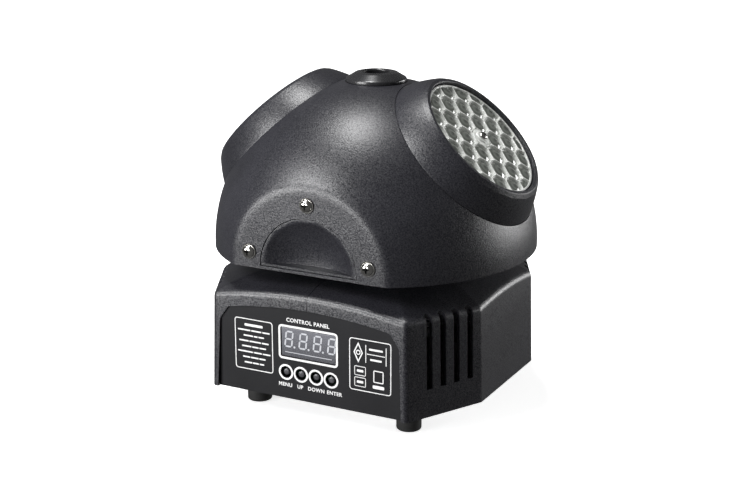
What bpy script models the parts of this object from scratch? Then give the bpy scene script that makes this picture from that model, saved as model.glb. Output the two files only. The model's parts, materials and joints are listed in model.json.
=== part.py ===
# Twin-lens moving head light: an octagonal base with a control panel, and a domed head that
# pans on it and carries two spinning honeycomb lens plates.
#
# The frame: +Z up, the front faces -Y, the lens barrels point along +X and -X. The origin is on
# the surface that the feet stand on, at the middle of the base. All sizes are in metres.

import math

import bpy
import bmesh
from mathutils import Matrix, Vector

MM = 0.001
FIT = 0.3 * MM  # gap between two pieces that touch
RUN = 0.6 * MM  # radial gap round a piece that turns inside another

# Feet
FOOT_RADIUS = 6.5 * MM
FOOT_HEIGHT = 14.4 * MM
FOOT_X = 44.3 * MM
FOOT_Y = 49.5 * MM
FOOT_EDGE = 1.2 * MM

# Base shell, measured along its bottom edge
BASE_WIDTH = 155.0 * MM
BASE_DEPTH = 152.8 * MM
FRONT_FACE = 111.6 * MM  # length of the front and rear faces; the slanted faces take the rest
SIDE_FACE = 67.7 * MM
BASE_HEIGHT = 60.5 * MM  # from the underside to the top of the roof
COVER_WALL = 2.2 * MM
DRAFT = 1.5 * MM  # how far each wall leans in
FRONT_EDGE_DROP = 9.7 * MM  # roof top down to the front corners of the top edge
SIDE_EDGE_DROP = 10.6 * MM
FRONT_ARCH = 4.9 * MM
SIDE_ARCH = 1.9 * MM
ROOF_RADIUS = 47.0 * MM  # where the sloping roof turns flat
ROOF_OPENING = 29.0 * MM
ROOF_CROWN = 1.9  # exponent of the roof's swell
SEAM = 0.3 * MM  # gap between the two cover halves

# Vent slots on the slanted faces
VENT_COUNT = 4
VENT_WIDTH = 3.7 * MM
VENT_BOTTOM = 14.4 * MM  # above the underside
VENT_REACH = 3.6 * MM  # how far a slot runs in over the top edge
VENT_FRONT_MARGIN = 15.0 * MM  # from the face's front end to the first slot's middle
VENT_BACK_MARGIN = 7.3 * MM

# Panels and their openings in the covers
PANEL_THICKNESS = 1.5 * MM
PANEL_RECESS = 2.0 * MM  # behind the face's bottom edge
OPENING_MARGIN = 2.6 * MM  # cover left beside the opening at the bottom
OPENING_LEAN = 1.9 * MM
OPENING_SHOULDER = 13.6 * MM  # top edge down to the start of the chamfer
OPENING_CHAMFER_X = 5.1 * MM
OPENING_CHAMFER_TOP = 6.3 * MM
OPENING_CROWN = 7.2 * MM  # top of the arch down to the top of the opening

# Display, buttons and their board
DISPLAY_WIDTH = 31.0 * MM
DISPLAY_HEIGHT = 15.2 * MM
DISPLAY_DEPTH = 9.6 * MM
DISPLAY_Z = 30.3 * MM  # above the underside
BUTTON_NAMES = ("button_menu", "button_up", "button_down", "button_enter")
BUTTON_PITCH = 8.67 * MM
BUTTON_Z = 14.1 * MM  # above the underside
BUTTON_RADIUS = 1.75 * MM
BUTTON_HOLE = 2.9 * MM
BUTTON_LENGTH = 8.0 * MM
BUTTON_TRAVEL = 0.4 * MM
SWITCH_SIZE = 6.0 * MM
SWITCH_HEIGHT = 4.3 * MM
BOARD_THICKNESS = 1.6 * MM

# Rear connectors: x of each, all at one height
CONNECTOR_Z = 21.5 * MM  # above the underside
INLET_X = -33.0 * MM
FUSE_X = -9.0 * MM
SIGNAL_IN_X = 11.5 * MM
SIGNAL_OUT_X = 37.5 * MM
FLANGE_THICKNESS = 1.2 * MM
INLET_FLANGE = (30.0 * MM, 23.0 * MM)
INLET_BODY = (27.0 * MM, 19.0 * MM, 24.0 * MM)
INLET_CAVITY = (23.0 * MM, 15.0 * MM, 18.0 * MM)
INLET_PIN = (2.0 * MM, 4.0 * MM, 11.0 * MM)
INLET_PIN_PITCH = 7.0 * MM
SIGNAL_FLANGE = (24.5 * MM, 29.0 * MM)
SIGNAL_RADIUS = 10.2 * MM
SIGNAL_DEPTH = 22.0 * MM
SIGNAL_CAVITY = 8.6 * MM
SIGNAL_CAVITY_DEPTH = 15.0 * MM
SIGNAL_PIN_RADIUS = 1.2 * MM
SIGNAL_PIN_LENGTH = 9.0 * MM
SIGNAL_PIN_CIRCLE = 4.6 * MM
FUSE_FLANGE = 7.5 * MM
FUSE_BODY = 5.6 * MM
FUSE_DEPTH = 26.0 * MM

# Pan drive, hung from the roof downwards
PLATE = 2.0 * MM  # steel sheet
SHAFT_RADIUS = 12.0 * MM
SHAFT_WALL = 3.5 * MM
SHAFT_LIP = 5.0 * MM  # how far its top flange stands out
SHAFT_FLANGE_HEIGHT = 1.8 * MM
NUT_WALL = 4.0 * MM  # shaft to the nut's corners
NUT_HEIGHT = 3.5 * MM
BEARING_HEIGHT = 7.0 * MM
RACE = 2.9 * MM
BALL_GAP = 1.9 * MM  # between the two races
PULLEY_CLEARANCE = 5.0 * MM  # below the roof
PULLEY_WIDTH = 8.0 * MM
PULLEY_FLANGE = 1.0 * MM  # thickness of each flange
PULLEY_LIP = 2.0 * MM  # how far a flange stands out past the teeth
PULLEY_RADIUS = 24.0 * MM
PULLEY_HUB = 5.2 * MM  # height below the teeth
PULLEY_HUB_WALL = 4.0 * MM
TEETH = 36
MOTOR_TEETH = 9
TOOTH = 0.8 * MM
BELT_THICKNESS = 1.4 * MM
MOTOR_CLEARANCE = 0.5 * MM  # bearing to motor body
MOTOR_SIZE = 35.0 * MM
MOTOR_HEIGHT = 24.0 * MM
MOTOR_CORNER = 3.0 * MM
MOTOR_BOSS = 11.0 * MM
MOTOR_SHAFT = 2.5 * MM
MOTOR_SHAFT_SINK = 8.0 * MM  # into the motor, below the deck
DECK_MARGIN = 3.0 * MM  # past the motor's boss
DECK_Y = 30.0 * MM
DECK_LEG = 20.0 * MM

# Electronics on the chassis
SUPPLY = (38.0 * MM, 66.0 * MM, 24.0 * MM)
SUPPLY_X = 44.0 * MM
SUPPLY_SLOTS = 5
SUPPLY_SLOT_PITCH = 9.0 * MM
SUPPLY_SLOT = (2.0 * MM, 3.0 * MM)  # width and depth
MAIN_BOARD = (34.0 * MM, 52.0 * MM)
STANDOFF = 3.0 * MM
STANDOFF_RADIUS = 2.0 * MM
# each chip: its low corner on the board, then its width, length and height
MAIN_CHIPS = (
    (-12.0 * MM, -18.0 * MM, 10.0 * MM, 10.0 * MM, 3.0 * MM),
    (2.0 * MM, 4.0 * MM, 11.0 * MM, 14.0 * MM, 9.0 * MM),
    (-13.0 * MM, 6.0 * MM, 8.0 * MM, 10.0 * MM, 12.0 * MM))
CONTROL_BOARD_WIDTH = 66.0 * MM
CONTROL_CHIP = (10.0 * MM, 2.2 * MM)  # side and height
CONTROL_CHIP_X = (-24.0 * MM, 4.0 * MM)
CHASSIS_SLOT_X = (-12.0 * MM, -4.0 * MM, 4.0 * MM, 12.0 * MM)
CHASSIS_SLOT = (3.0 * MM, 48.0 * MM)

# Head
HEAD_GAP = 6.3 * MM  # roof to the dome's bottom edge
HEAD_RADIUS = 85.6 * MM
HEAD_SKIRT = 1.5 * MM  # straight part below the sphere's middle
HEAD_WALL = 2.5 * MM
FLAT_DEPTH = 11.8 * MM  # how much of the sphere the front and rear flats take off
TURNTABLE_RADIUS = 60.0 * MM
TURNTABLE_LIFT = 1.8 * MM  # above the roof
TURNTABLE_HUB = 26.0 * MM
HUB_EDGE = 1.0 * MM
INSERT_RADIUS = 27.5 * MM
INSERT_DEPTH = 9.5 * MM
SCOOP_RADIUS = 25.6 * MM
SCOOP_DEPTH = 7.0 * MM
SCREW_CIRCLE = 34.3 * MM
SCREW_LOW_ANGLE = 11.5  # degrees above level
SCREW_HEAD = 4.0 * MM
SCREW_HEAD_HEIGHT = 2.2 * MM
SCREW_SHANK = 1.9 * MM
SCREW_CROSS = (1.9 * MM, 0.5 * MM)  # reach and half width of the driver's cross
SCOOP_LEDGE = 1.2 * MM
FRAME_SETBACK = 11.8 * MM  # flat to the inner frame's upright
FRAME_HALF_WIDTH = 22.0 * MM
UPRIGHT_MARGIN = 4.0 * MM  # clear of the dome
FLOOR_AIR_CIRCLE = 46.0 * MM
FLOOR_AIR_ANGLES = (-30, 0, 30, 150, 180, 210)
FLOOR_AIR_HOLE = 7.0 * MM

# Lens barrels
BARREL_TILT = 45.0  # degrees from upright
BARREL_RADIUS = 46.0 * MM  # at the seam on the dome
BARREL_RISE = 14.4 * MM  # seam to rim
RIM_RADIUS = 37.7 * MM
RIM_CHAMFER = 0.5 * MM
BARREL_SWELL = 0.7 * MM
BARREL_WALL = 2.4 * MM
BARREL_FLANGE = 1.3 * MM
BARREL_SINK = 7.5 * MM  # seam to the flange's underside
LENS_RADIUS = 34.6 * MM
LENS_THICKNESS = 2.4 * MM
LENS_RECESS = 1.8 * MM
LENS_BOSS = 3.4 * MM
LENS_BOSS_HEIGHT = 1.0 * MM
LENS_SCREW_HEAD = 2.5 * MM
LENS_SCREW_HEIGHT = 1.5 * MM
LENS_SCREW_SHANK = 1.3 * MM
LENS_SCREW_LENGTH = 8.0 * MM
LENS_CROSS = (1.2 * MM, 0.3 * MM)
LENS_CROSS_FLOOR = 0.6 * MM
LENS_EDGE = 0.4 * MM
LENS_SHAFT = 2.6 * MM
LED_DROP = 20.4 * MM  # lens plate's back to the LED board
LED_RINGS = ((6, 13.0 * MM), (12, 26.0 * MM))
LED_RADIUS = 2.6 * MM
LED_HEIGHT = 2.6 * MM
ENGINE_RADIUS = 33.0 * MM
SINK_BASE = 4.0 * MM
SINK_HEIGHT = 19.5 * MM
FIN_COUNT = 9
FIN_THICKNESS = 1.6 * MM
LENS_MOTOR_RADIUS = 10.0 * MM
LENS_MOTOR_HEIGHT = 16.0 * MM
LENS_MOTOR_EDGE = 1.0 * MM
LENS_MOTOR_BORE = 8.0 * MM

# Top cap
CAP_RADIUS = 15.9 * MM
CAP_RISE = 3.8 * MM  # above the dome's apex
CAP_BAND = 2.2 * MM
CAP_SEAT = 2.2 * MM  # below the dome's apex
CAP_STEM = 10.5 * MM
CAP_STEM_LENGTH = 6.0 * MM
CAP_HOLE = 7.0 * MM

# Fan and driver board in the head
FAN_SIZE = 30.0 * MM
FAN_DEPTH = 8.0 * MM
FAN_DUCT = 13.6 * MM
FAN_HUB = 6.0 * MM
FAN_STRUT = (2.0 * MM, 1.2 * MM)  # width and thickness
FAN_SPINDLE = 2.0 * MM  # height, and how much narrower than the hub
FAN_BLADES = 7
BLADE = (1.0 * MM, 4.4 * MM)  # thickness and chord
BLADE_PITCH = 40.0  # degrees
DRIVER_BOARD = (44.0 * MM, 26.0 * MM)
DRIVER_CHIP = (7.0 * MM, 8.0 * MM, 2.4 * MM)
DRIVER_CHIP_PITCH = 14.5 * MM

# Levels and places that follow from the sizes above
UNDERSIDE_Z = FOOT_HEIGHT + FIT
ROOF_Z = UNDERSIDE_Z + BASE_HEIGHT
FRONT_EDGE_Z = ROOF_Z - FRONT_EDGE_DROP
SIDE_EDGE_Z = ROOF_Z - SIDE_EDGE_DROP
CHASSIS_TOP_Z = UNDERSIDE_Z + PLATE
PANEL_FACE_Y = BASE_DEPTH / 2 - PANEL_RECESS
PANEL_BACK_Y = PANEL_FACE_Y - PANEL_THICKNESS
PULLEY_TOP_Z = ROOF_Z - COVER_WALL - PULLEY_CLEARANCE
PULLEY_BOTTOM_Z = PULLEY_TOP_Z - PULLEY_WIDTH
SHAFT_BORE = SHAFT_RADIUS - SHAFT_WALL
SHAFT_FLANGE = SHAFT_RADIUS + SHAFT_LIP
NUT_RADIUS = SHAFT_RADIUS + NUT_WALL
BEARING_RADIUS = SHAFT_RADIUS + FIT + RACE + BALL_GAP + RACE
MOTOR_DISTANCE = BEARING_RADIUS + MOTOR_CLEARANCE + MOTOR_SIZE / 2  # pan axis to motor axis
DECK_X = MOTOR_DISTANCE + MOTOR_BOSS + DECK_MARGIN
BEARING_TOP_Z = PULLEY_BOTTOM_Z - PULLEY_HUB - FIT
BEARING_BOTTOM_Z = BEARING_TOP_Z - BEARING_HEIGHT
DECK_TOP_Z = (BEARING_TOP_Z + BEARING_BOTTOM_Z + PLATE) / 2
DECK_BOTTOM_Z = DECK_TOP_Z - PLATE
TURNTABLE_Z = ROOF_Z + TURNTABLE_LIFT
HEAD_BOTTOM_Z = ROOF_Z + HEAD_GAP
HEAD_Z = HEAD_BOTTOM_Z + HEAD_SKIRT
FLOOR_Z = HEAD_BOTTOM_Z + 0.5 * MM
FLOOR_TOP_Z = FLOOR_Z + PLATE
FRAME_Z = FLOOR_TOP_Z + FIT
FLAT_Y = HEAD_RADIUS - FLAT_DEPTH
UPRIGHT_Y = FLAT_Y - FRAME_SETBACK
SEAM_REACH = math.sqrt(HEAD_RADIUS ** 2 - BARREL_RADIUS ** 2)
RIM_REACH = SEAM_REACH + BARREL_RISE
LENS_TOP = RIM_REACH - LENS_RECESS
LENS_BACK = LENS_TOP - LENS_THICKNESS
LED_BACK = LENS_BACK - LED_DROP
SINK_TOP = LED_BACK - FIT
SINK_BACK = SINK_TOP - SINK_HEIGHT
LENS_MOTOR_TOP = SINK_BACK - 2 * MM
APEX_Z = HEAD_Z + HEAD_RADIUS

DOME_SEGMENTS = 40
BARREL_SEGMENTS = 32
ROUND = 28  # segments of a turned piece
SMALL = 14  # segments of a small one
TINY = 8

PARTS = "moving_head_light"


# ---------------------------------------------------------------- scene and materials

def clear_scene():
    for item in list(bpy.data.objects):
        bpy.data.objects.remove(item, do_unlink=True)


def make_collection(name):
    collection = bpy.data.collections.new(name)
    bpy.context.scene.collection.children.link(collection)
    return collection


def make_material(name, colour, roughness, metallic=0.0, alpha=1.0):
    material = bpy.data.materials.new(name)
    material.use_nodes = True
    shader = material.node_tree.nodes["Principled BSDF"]
    shader.inputs["Base Color"].default_value = (*colour, 1.0)
    shader.inputs["Roughness"].default_value = roughness
    shader.inputs["Metallic"].default_value = metallic
    shader.inputs["Alpha"].default_value = alpha
    return material


clear_scene()
PARTS_COLLECTION = make_collection(PARTS)
TOOLS_COLLECTION = make_collection("cutters")

# One finish for each kind of piece: colour, roughness, metallic
FINISHES = {
    "black_plastic": ((0.035, 0.035, 0.040), 0.45, 0.0),
    "panel_black": ((0.012, 0.012, 0.013), 0.55, 0.0),
    "rubber": ((0.010, 0.010, 0.010), 0.80, 0.0),
    "sheet_steel": ((0.45, 0.46, 0.48), 0.40, 1.0),
    "bearing_steel": ((0.55, 0.55, 0.57), 0.25, 1.0),
    "nickel": ((0.70, 0.69, 0.66), 0.20, 1.0),
    "aluminium": ((0.62, 0.63, 0.65), 0.35, 1.0),
    "circuit_board": ((0.020, 0.120, 0.050), 0.50, 0.0),
    "display_grey": ((0.180, 0.185, 0.200), 0.30, 0.0),
    "clear_lens": ((0.80, 0.82, 0.82), 0.10, 0.0),
    "belt_rubber": ((0.020, 0.020, 0.022), 0.70, 0.0),
    "socket_plastic": ((0.020, 0.020, 0.022), 0.35, 0.0),
}


def finish(name, kind):
    colour, roughness, metallic = FINISHES[kind]
    return make_material(f"{name}_{kind}", colour, roughness, metallic)


# ---------------------------------------------------------------- making shapes

def add_object(name, mesh, kind, pivot=None):
    # kind None makes a cutter or another operand, which is not a part
    item = bpy.data.objects.new(name, mesh)
    if kind is None:
        TOOLS_COLLECTION.objects.link(item)
        item.hide_render = True
        item.display_type = "WIRE"
    else:
        PARTS_COLLECTION.objects.link(item)
        mesh.materials.append(finish(name, kind))
    item.parent = pivot
    return item


def mesh_from(name, shape):
    bmesh.ops.recalc_face_normals(shape, faces=shape.faces)
    mesh = bpy.data.meshes.new(name)
    shape.to_mesh(mesh)
    shape.free()
    return mesh


def make_pivot(name, matrix):
    pivot = bpy.data.objects.new(name, None)
    PARTS_COLLECTION.objects.link(pivot)
    pivot.matrix_world = matrix
    return pivot


def add_cube(shape, low, high):
    low = Vector(low)
    high = Vector(high)
    size = Matrix.Diagonal((*(high - low), 1.0))
    bmesh.ops.create_cube(shape, size=1.0, matrix=Matrix.Translation((low + high) / 2) @ size)


def box(name, low, high, kind=None, pivot=None):
    shape = bmesh.new()
    add_cube(shape, low, high)
    return add_object(name, mesh_from(name, shape), kind, pivot)


def boxes(name, corners, kind=None, pivot=None):
    # separate boxes in one operand, for cuts that repeat
    shape = bmesh.new()
    for low, high in corners:
        add_cube(shape, low, high)
    return add_object(name, mesh_from(name, shape), kind, pivot)


def add_rod(shape, radius, start, end, segments=SMALL):
    start = Vector(start)
    end = Vector(end)
    along = end - start
    turn = along.to_track_quat("Z", "Y").to_matrix().to_4x4()
    bmesh.ops.create_cone(
        shape, cap_ends=True, segments=segments, radius1=radius, radius2=radius,
        depth=along.length, matrix=Matrix.Translation((start + end) / 2) @ turn)


def rods(name, radius, ends, kind=None, pivot=None, segments=SMALL):
    shape = bmesh.new()
    for start, end in ends:
        add_rod(shape, radius, start, end, segments)
    return add_object(name, mesh_from(name, shape), kind, pivot)


def rod(name, radius, start, end, kind=None, pivot=None, segments=SMALL):
    return rods(name, radius, [(start, end)], kind, pivot, segments)


def turned(name, profile, kind=None, pivot=None, steps=ROUND, closed=False):
    # profile: (radius, height) points, down the outer side from the top
    mesh = bpy.data.meshes.new(name)
    points = [(radius, 0.0, height) for radius, height in profile]
    edges = [(i, i + 1) for i in range(len(points) - 1)]
    if closed:
        edges.append((len(points) - 1, 0))
    mesh.from_pydata(points, edges, [])
    item = add_object(name, mesh, kind, pivot)
    screw = item.modifiers.new("turn", "SCREW")
    screw.axis = "Z"
    screw.angle = math.tau
    screw.steps = steps
    screw.render_steps = steps
    screw.use_merge_vertices = True
    screw.merge_threshold = 0.00001
    screw.use_smooth_shade = True
    return item


def ring(name, inner, outer, bottom, top, kind=None, pivot=None, steps=ROUND):
    profile = [(outer, top), (outer, bottom), (inner, bottom), (inner, top)]
    return turned(name, profile, kind, pivot, steps, closed=True)


def plate(name, outline, low, high, kind=None, pivot=None, turn=None):
    # a flat outline in X and Y, thick from low to high in Z, then turned
    curve = bpy.data.curves.new(name, "CURVE")
    curve.dimensions = "2D"
    curve.fill_mode = "BOTH"
    curve.extrude = (high - low) / 2
    spline = curve.splines.new("POLY")
    spline.points.add(len(outline) - 1)
    for point, (x, y) in zip(spline.points, outline):
        point.co = (x, y, 0.0, 1.0)
    spline.use_cyclic_u = True
    flat = bpy.data.objects.new(name + "_outline", curve)
    TOOLS_COLLECTION.objects.link(flat)
    bpy.context.view_layer.update()
    evaluated = flat.evaluated_get(bpy.context.evaluated_depsgraph_get())
    mesh = bpy.data.meshes.new_from_object(evaluated)
    mesh.name = name
    mesh.materials.clear()
    shape = bmesh.new()
    shape.from_mesh(mesh)
    bmesh.ops.remove_doubles(shape, verts=shape.verts, dist=0.000001)
    bmesh.ops.translate(shape, verts=shape.verts, vec=(0, 0, (low + high) / 2))
    if turn is not None:
        bmesh.ops.transform(shape, matrix=turn, verts=shape.verts)
    bmesh.ops.recalc_face_normals(shape, faces=shape.faces)
    shape.to_mesh(mesh)
    shape.free()
    bpy.data.objects.remove(flat, do_unlink=True)
    return add_object(name, mesh, kind, pivot)


# an outline drawn in X and Z, standing up, with its thickness along Y
UPRIGHT = Matrix(((1, 0, 0, 0), (0, 0, 1, 0), (0, 1, 0, 0), (0, 0, 0, 1)))


def combine(item, other, operation):
    modifier = item.modifiers.new(other.name, "BOOLEAN")
    modifier.operation = operation
    modifier.object = other
    modifier.solver = "EXACT"
    return item


def cut(item, *others):
    for other in others:
        combine(item, other, "DIFFERENCE")
    return item


def join(item, *others):
    for other in others:
        combine(item, other, "UNION")
    return item


def keep(item, other):
    return combine(item, other, "INTERSECT")


def soften(item, width, segments=2):
    bevel = item.modifiers.new("edge", "BEVEL")
    bevel.width = width
    bevel.segments = segments
    bevel.limit_method = "ANGLE"
    bevel.angle_limit = math.radians(40)
    return item


def polar(radius, degrees):
    angle = math.radians(degrees)
    return radius * math.cos(angle), radius * math.sin(angle)


def arc(radius, start, end, count, centre=(0.0, 0.0)):
    points = []
    for i in range(count + 1):
        x, y = polar(radius, start + (end - start) * i / count)
        points.append((centre[0] + x, centre[1] + y))
    return points


# ---------------------------------------------------------------- base outline

def octagon(front_inset=0.0, slant_inset=0.0, side_inset=0.0):
    # eight corners, counter-clockwise from the front face's left end
    half_width = BASE_WIDTH / 2
    half_depth = BASE_DEPTH / 2
    front_end = Vector((FRONT_FACE / 2, -half_depth))
    side_end = Vector((half_width, -SIDE_FACE / 2))
    along = (side_end - front_end).normalized()
    normal = Vector((along.y, -along.x))
    offset = normal.dot(front_end) - slant_inset
    front_y = -half_depth + front_inset
    side_x = half_width - side_inset
    front_x = (offset - normal.y * front_y) / normal.x
    side_y = (offset - normal.x * side_x) / normal.y
    quarter = [(front_x, front_y), (side_x, side_y)]
    half = quarter + [(x, -y) for x, y in reversed(quarter)]
    return [(-x, y) for x, y in reversed(half[:1])] + half + [(-x, y) for x, y in reversed(half[1:])]


SIDE_STEPS = (10, 2, 6, 2, 10, 2, 6, 2)  # pieces along each face, from the front counter-clockwise


def edge_height(side, along):
    # height of the base's top edge; along runs 0 to 1 over one face
    swell = 1 - (2 * along - 1) ** 2
    if side % 4 == 0:
        return FRONT_EDGE_Z + FRONT_ARCH * swell
    if side % 4 == 2:
        return SIDE_EDGE_Z + SIDE_ARCH * swell
    start, end = (FRONT_EDGE_Z, SIDE_EDGE_Z) if side % 4 == 1 else (SIDE_EDGE_Z, FRONT_EDGE_Z)
    return start + (end - start) * along


def around(corners):
    # points round an eight-sided outline, each with its face and its place along it
    for side, steps in enumerate(SIDE_STEPS):
        start = Vector(corners[side])
        end = Vector(corners[(side + 1) % 8])
        for step in range(steps):
            yield side, step / steps, start.lerp(end, step / steps)


def cover_rings():
    bottom = []
    edge = []
    for side, along, point in around(octagon()):
        bottom.append((point.x, point.y, UNDERSIDE_Z))
    for side, along, point in around(octagon(DRAFT, DRAFT, DRAFT)):
        edge.append((point.x, point.y, edge_height(side, along)))
    rings = [bottom, edge]
    for share in (0.25, 0.5, 0.75, 1.0):
        rise = 1 - (1 - share) ** ROOF_CROWN
        level = []
        for x, y, z in edge:
            scale = ROOF_RADIUS / math.hypot(x, y)
            across = 1 + (scale - 1) * share
            level.append((x * across, y * across, z + (ROOF_Z - z) * rise))
        rings.append(level)
    opening = []
    for x, y, z in edge:
        scale = ROOF_OPENING / math.hypot(x, y)
        opening.append((x * scale, y * scale, ROOF_Z))
    rings.append(opening)
    return rings


def cover_shell(name, kind):
    # octagon to circle, which no primitive gives
    shape = bmesh.new()
    rings = [[shape.verts.new(point) for point in level] for level in cover_rings()]
    for lower, upper in zip(rings, rings[1:]):
        for i in range(len(lower)):
            following = (i + 1) % len(lower)
            shape.faces.new((lower[i], lower[following], upper[following], upper[i]))
    item = add_object(name, mesh_from(name, shape), kind)
    wall = item.modifiers.new("wall", "SOLIDIFY")
    wall.thickness = COVER_WALL
    wall.offset = -1.0
    wall.use_even_offset = True
    return item


def opening_outline(inset=0.0, bottom=UNDERSIDE_Z):
    # front and rear openings, in X and Z
    foot_x = FRONT_FACE / 2 - OPENING_MARGIN - inset
    shoulder_x = foot_x - OPENING_LEAN
    chamfer_x = shoulder_x - OPENING_CHAMFER_X
    shoulder_z = FRONT_EDGE_Z - OPENING_SHOULDER - inset
    chamfer_z = FRONT_EDGE_Z - OPENING_CHAMFER_TOP - inset
    crown_z = FRONT_EDGE_Z + FRONT_ARCH - OPENING_CROWN - inset
    right = [(foot_x, bottom), (shoulder_x, shoulder_z), (chamfer_x, chamfer_z)]
    steps = 8
    crown = []
    for i in range(1, steps):
        x = chamfer_x * (1 - 2 * i / steps)
        crown.append((x, chamfer_z + (crown_z - chamfer_z) * (1 - (x / chamfer_x) ** 2)))
    return right + crown + [(-x, z) for x, z in reversed(right)]


def opening_cutter(name, side):
    near = side * (BASE_DEPTH / 2 - 2.6 * COVER_WALL)
    far = side * (BASE_DEPTH / 2 + COVER_WALL)
    outline = opening_outline(bottom=UNDERSIDE_Z - COVER_WALL)
    return plate(name, outline, min(near, far), max(near, far), turn=UPRIGHT)


def vent_cutter(name, side_x):
    # the slots of the front and rear slanted faces on one side
    corners = octagon()
    front_end = Vector(corners[1])
    side_end = Vector(corners[2])
    along = (side_end - front_end).normalized()
    inward = Vector((-along.y, along.x))
    pitch = ((side_end - front_end).length - VENT_FRONT_MARGIN - VENT_BACK_MARGIN) / (VENT_COUNT - 1)
    half = VENT_WIDTH / 2
    depth = DRAFT + VENT_REACH
    frame = Matrix((
        (along.x, inward.x, 0, 0),
        (along.y, inward.y, 0, 0),
        (0, 0, 1, 0),
        (0, 0, 0, 1)))
    shape = bmesh.new()
    for i in range(VENT_COUNT):
        centre = front_end + along * (VENT_FRONT_MARGIN + pitch * i)
        outline = [(-half, -COVER_WALL), (half, -COVER_WALL)]
        outline += arc(half, 0, 180, 4, centre=(0.0, depth - half))
        for turn in (1, -1):
            place = Matrix.Translation((centre.x, centre.y, 0)) @ frame
            place = Matrix.Diagonal((side_x, turn, 1, 1)) @ place
            floor = [shape.verts.new(place @ Vector((x, y, UNDERSIDE_Z + VENT_BOTTOM)))
                     for x, y in outline]
            face = shape.faces.new(floor)
            slot = bmesh.ops.extrude_face_region(shape, geom=[face])
            raised = [vert for vert in slot["geom"] if isinstance(vert, bmesh.types.BMVert)]
            bmesh.ops.translate(shape, verts=raised, vec=(0, 0, BASE_HEIGHT))
    return add_object(name, mesh_from(name, shape), None)


def make_covers():
    openings = (opening_cutter("front_opening", -1), opening_cutter("rear_opening", 1))
    reach = BASE_WIDTH
    for side, name in ((-1, "left"), (1, "right")):
        cover = cover_shell(f"base_cover_{name}", "black_plastic")
        near = side * SEAM / 2
        far = side * reach
        half = box(f"{name}_half", (min(near, far), -reach, 0), (max(near, far), reach, reach))
        cut(cover, *openings, vent_cutter(f"vents_{name}", side))
        keep(cover, half)


# ---------------------------------------------------------------- base pieces

def make_feet():
    for side_y, place in ((-1, "front"), (1, "rear")):
        for side_x, hand in ((-1, "left"), (1, "right")):
            pivot = make_pivot(f"foot_{place}_{hand}_place",
                               Matrix.Translation((side_x * FOOT_X, side_y * FOOT_Y, 0)))
            profile = [(0, FOOT_HEIGHT), (FOOT_RADIUS, FOOT_HEIGHT), (FOOT_RADIUS, FOOT_EDGE)]
            profile += [(FOOT_RADIUS - FOOT_EDGE + x, FOOT_EDGE + y)
                        for x, y in arc(FOOT_EDGE, -22.5, -90, 3)]
            profile.append((0, 0))
            turned(f"foot_{place}_{hand}", profile, "rubber", pivot, steps=16)


def make_chassis():
    front_inset = BASE_DEPTH / 2 - PANEL_BACK_Y + FIT
    side_inset = COVER_WALL + 2 * FIT
    outline = octagon(front_inset, side_inset, side_inset)
    chassis = plate("chassis_plate", outline, UNDERSIDE_Z, CHASSIS_TOP_Z, "sheet_steel")
    width, length = CHASSIS_SLOT
    slots = [((x - width / 2, -length / 2, 0), (x + width / 2, length / 2, CHASSIS_TOP_Z + PLATE))
             for x in CHASSIS_SLOT_X]
    cut(chassis, boxes("chassis_slots", slots))


def standing_plate(name, side, kind):
    face = side * PANEL_FACE_Y
    back = side * PANEL_BACK_Y
    return plate(name, opening_outline(FIT), min(face, back), max(face, back), kind, turn=UPRIGHT)


def button_places():
    middle = (len(BUTTON_NAMES) - 1) / 2
    return [(name, (i - middle) * BUTTON_PITCH) for i, name in enumerate(BUTTON_NAMES)]


def make_front():
    face = -PANEL_FACE_Y
    back = -PANEL_BACK_Y
    button_z = UNDERSIDE_Z + BUTTON_Z
    display_z = UNDERSIDE_Z + DISPLAY_Z
    panel = standing_plate("front_panel", -1, "panel_black")
    half_width = DISPLAY_WIDTH / 2
    half_height = DISPLAY_HEIGHT / 2
    window = box("display_window", (-half_width - FIT, face - PLATE, display_z - half_height - FIT),
                 (half_width + FIT, back + PLATE, display_z + half_height + FIT))
    holes = rods("button_holes", BUTTON_HOLE,
                 [((x, face - PLATE, button_z), (x, back + PLATE, button_z))
                  for name, x in button_places()])
    cut(panel, window, holes)

    display_front = face + FIT
    display_back = display_front + DISPLAY_DEPTH
    box("display_module", (-half_width, display_front, display_z - half_height),
        (half_width, display_back, display_z + half_height), "display_grey")

    board_front = display_back + FIT
    board_back = board_front + BOARD_THICKNESS
    reach = CONTROL_BOARD_WIDTH / 2
    board = box("control_board", (-reach, board_front, button_z - SWITCH_SIZE / 2 - 4 * MM),
                (reach, board_back, display_z + half_height + 4.4 * MM), "circuit_board")
    half = SWITCH_SIZE / 2
    switches = boxes("switches", [((x - half, board_front - SWITCH_HEIGHT, button_z - half),
                                   (x + half, board_front + BOARD_THICKNESS / 2, button_z + half))
                                  for name, x in button_places()])
    side, height = CONTROL_CHIP
    chips = boxes("control_chips", [((x, board_back - BOARD_THICKNESS / 2, display_z - side / 2),
                                     (x + side, board_back + height, display_z + side / 2))
                                    for x in CONTROL_CHIP_X])
    join(board, switches, chips)
    button_end = face + FIT + BUTTON_LENGTH
    bore_end = button_end + BUTTON_TRAVEL + FIT
    cut(board, rods("switch_bores", BUTTON_RADIUS + FIT,
                    [((x, face, button_z), (x, bore_end, button_z)) for name, x in button_places()]))
    for name, x in button_places():
        pivot = make_pivot(name + "_axis", Matrix.Translation((x, face + FIT, button_z)))
        soften(rod(name, BUTTON_RADIUS, (0, 0, 0), (0, BUTTON_LENGTH, 0), "socket_plastic", pivot),
               0.25 * MM)


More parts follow.
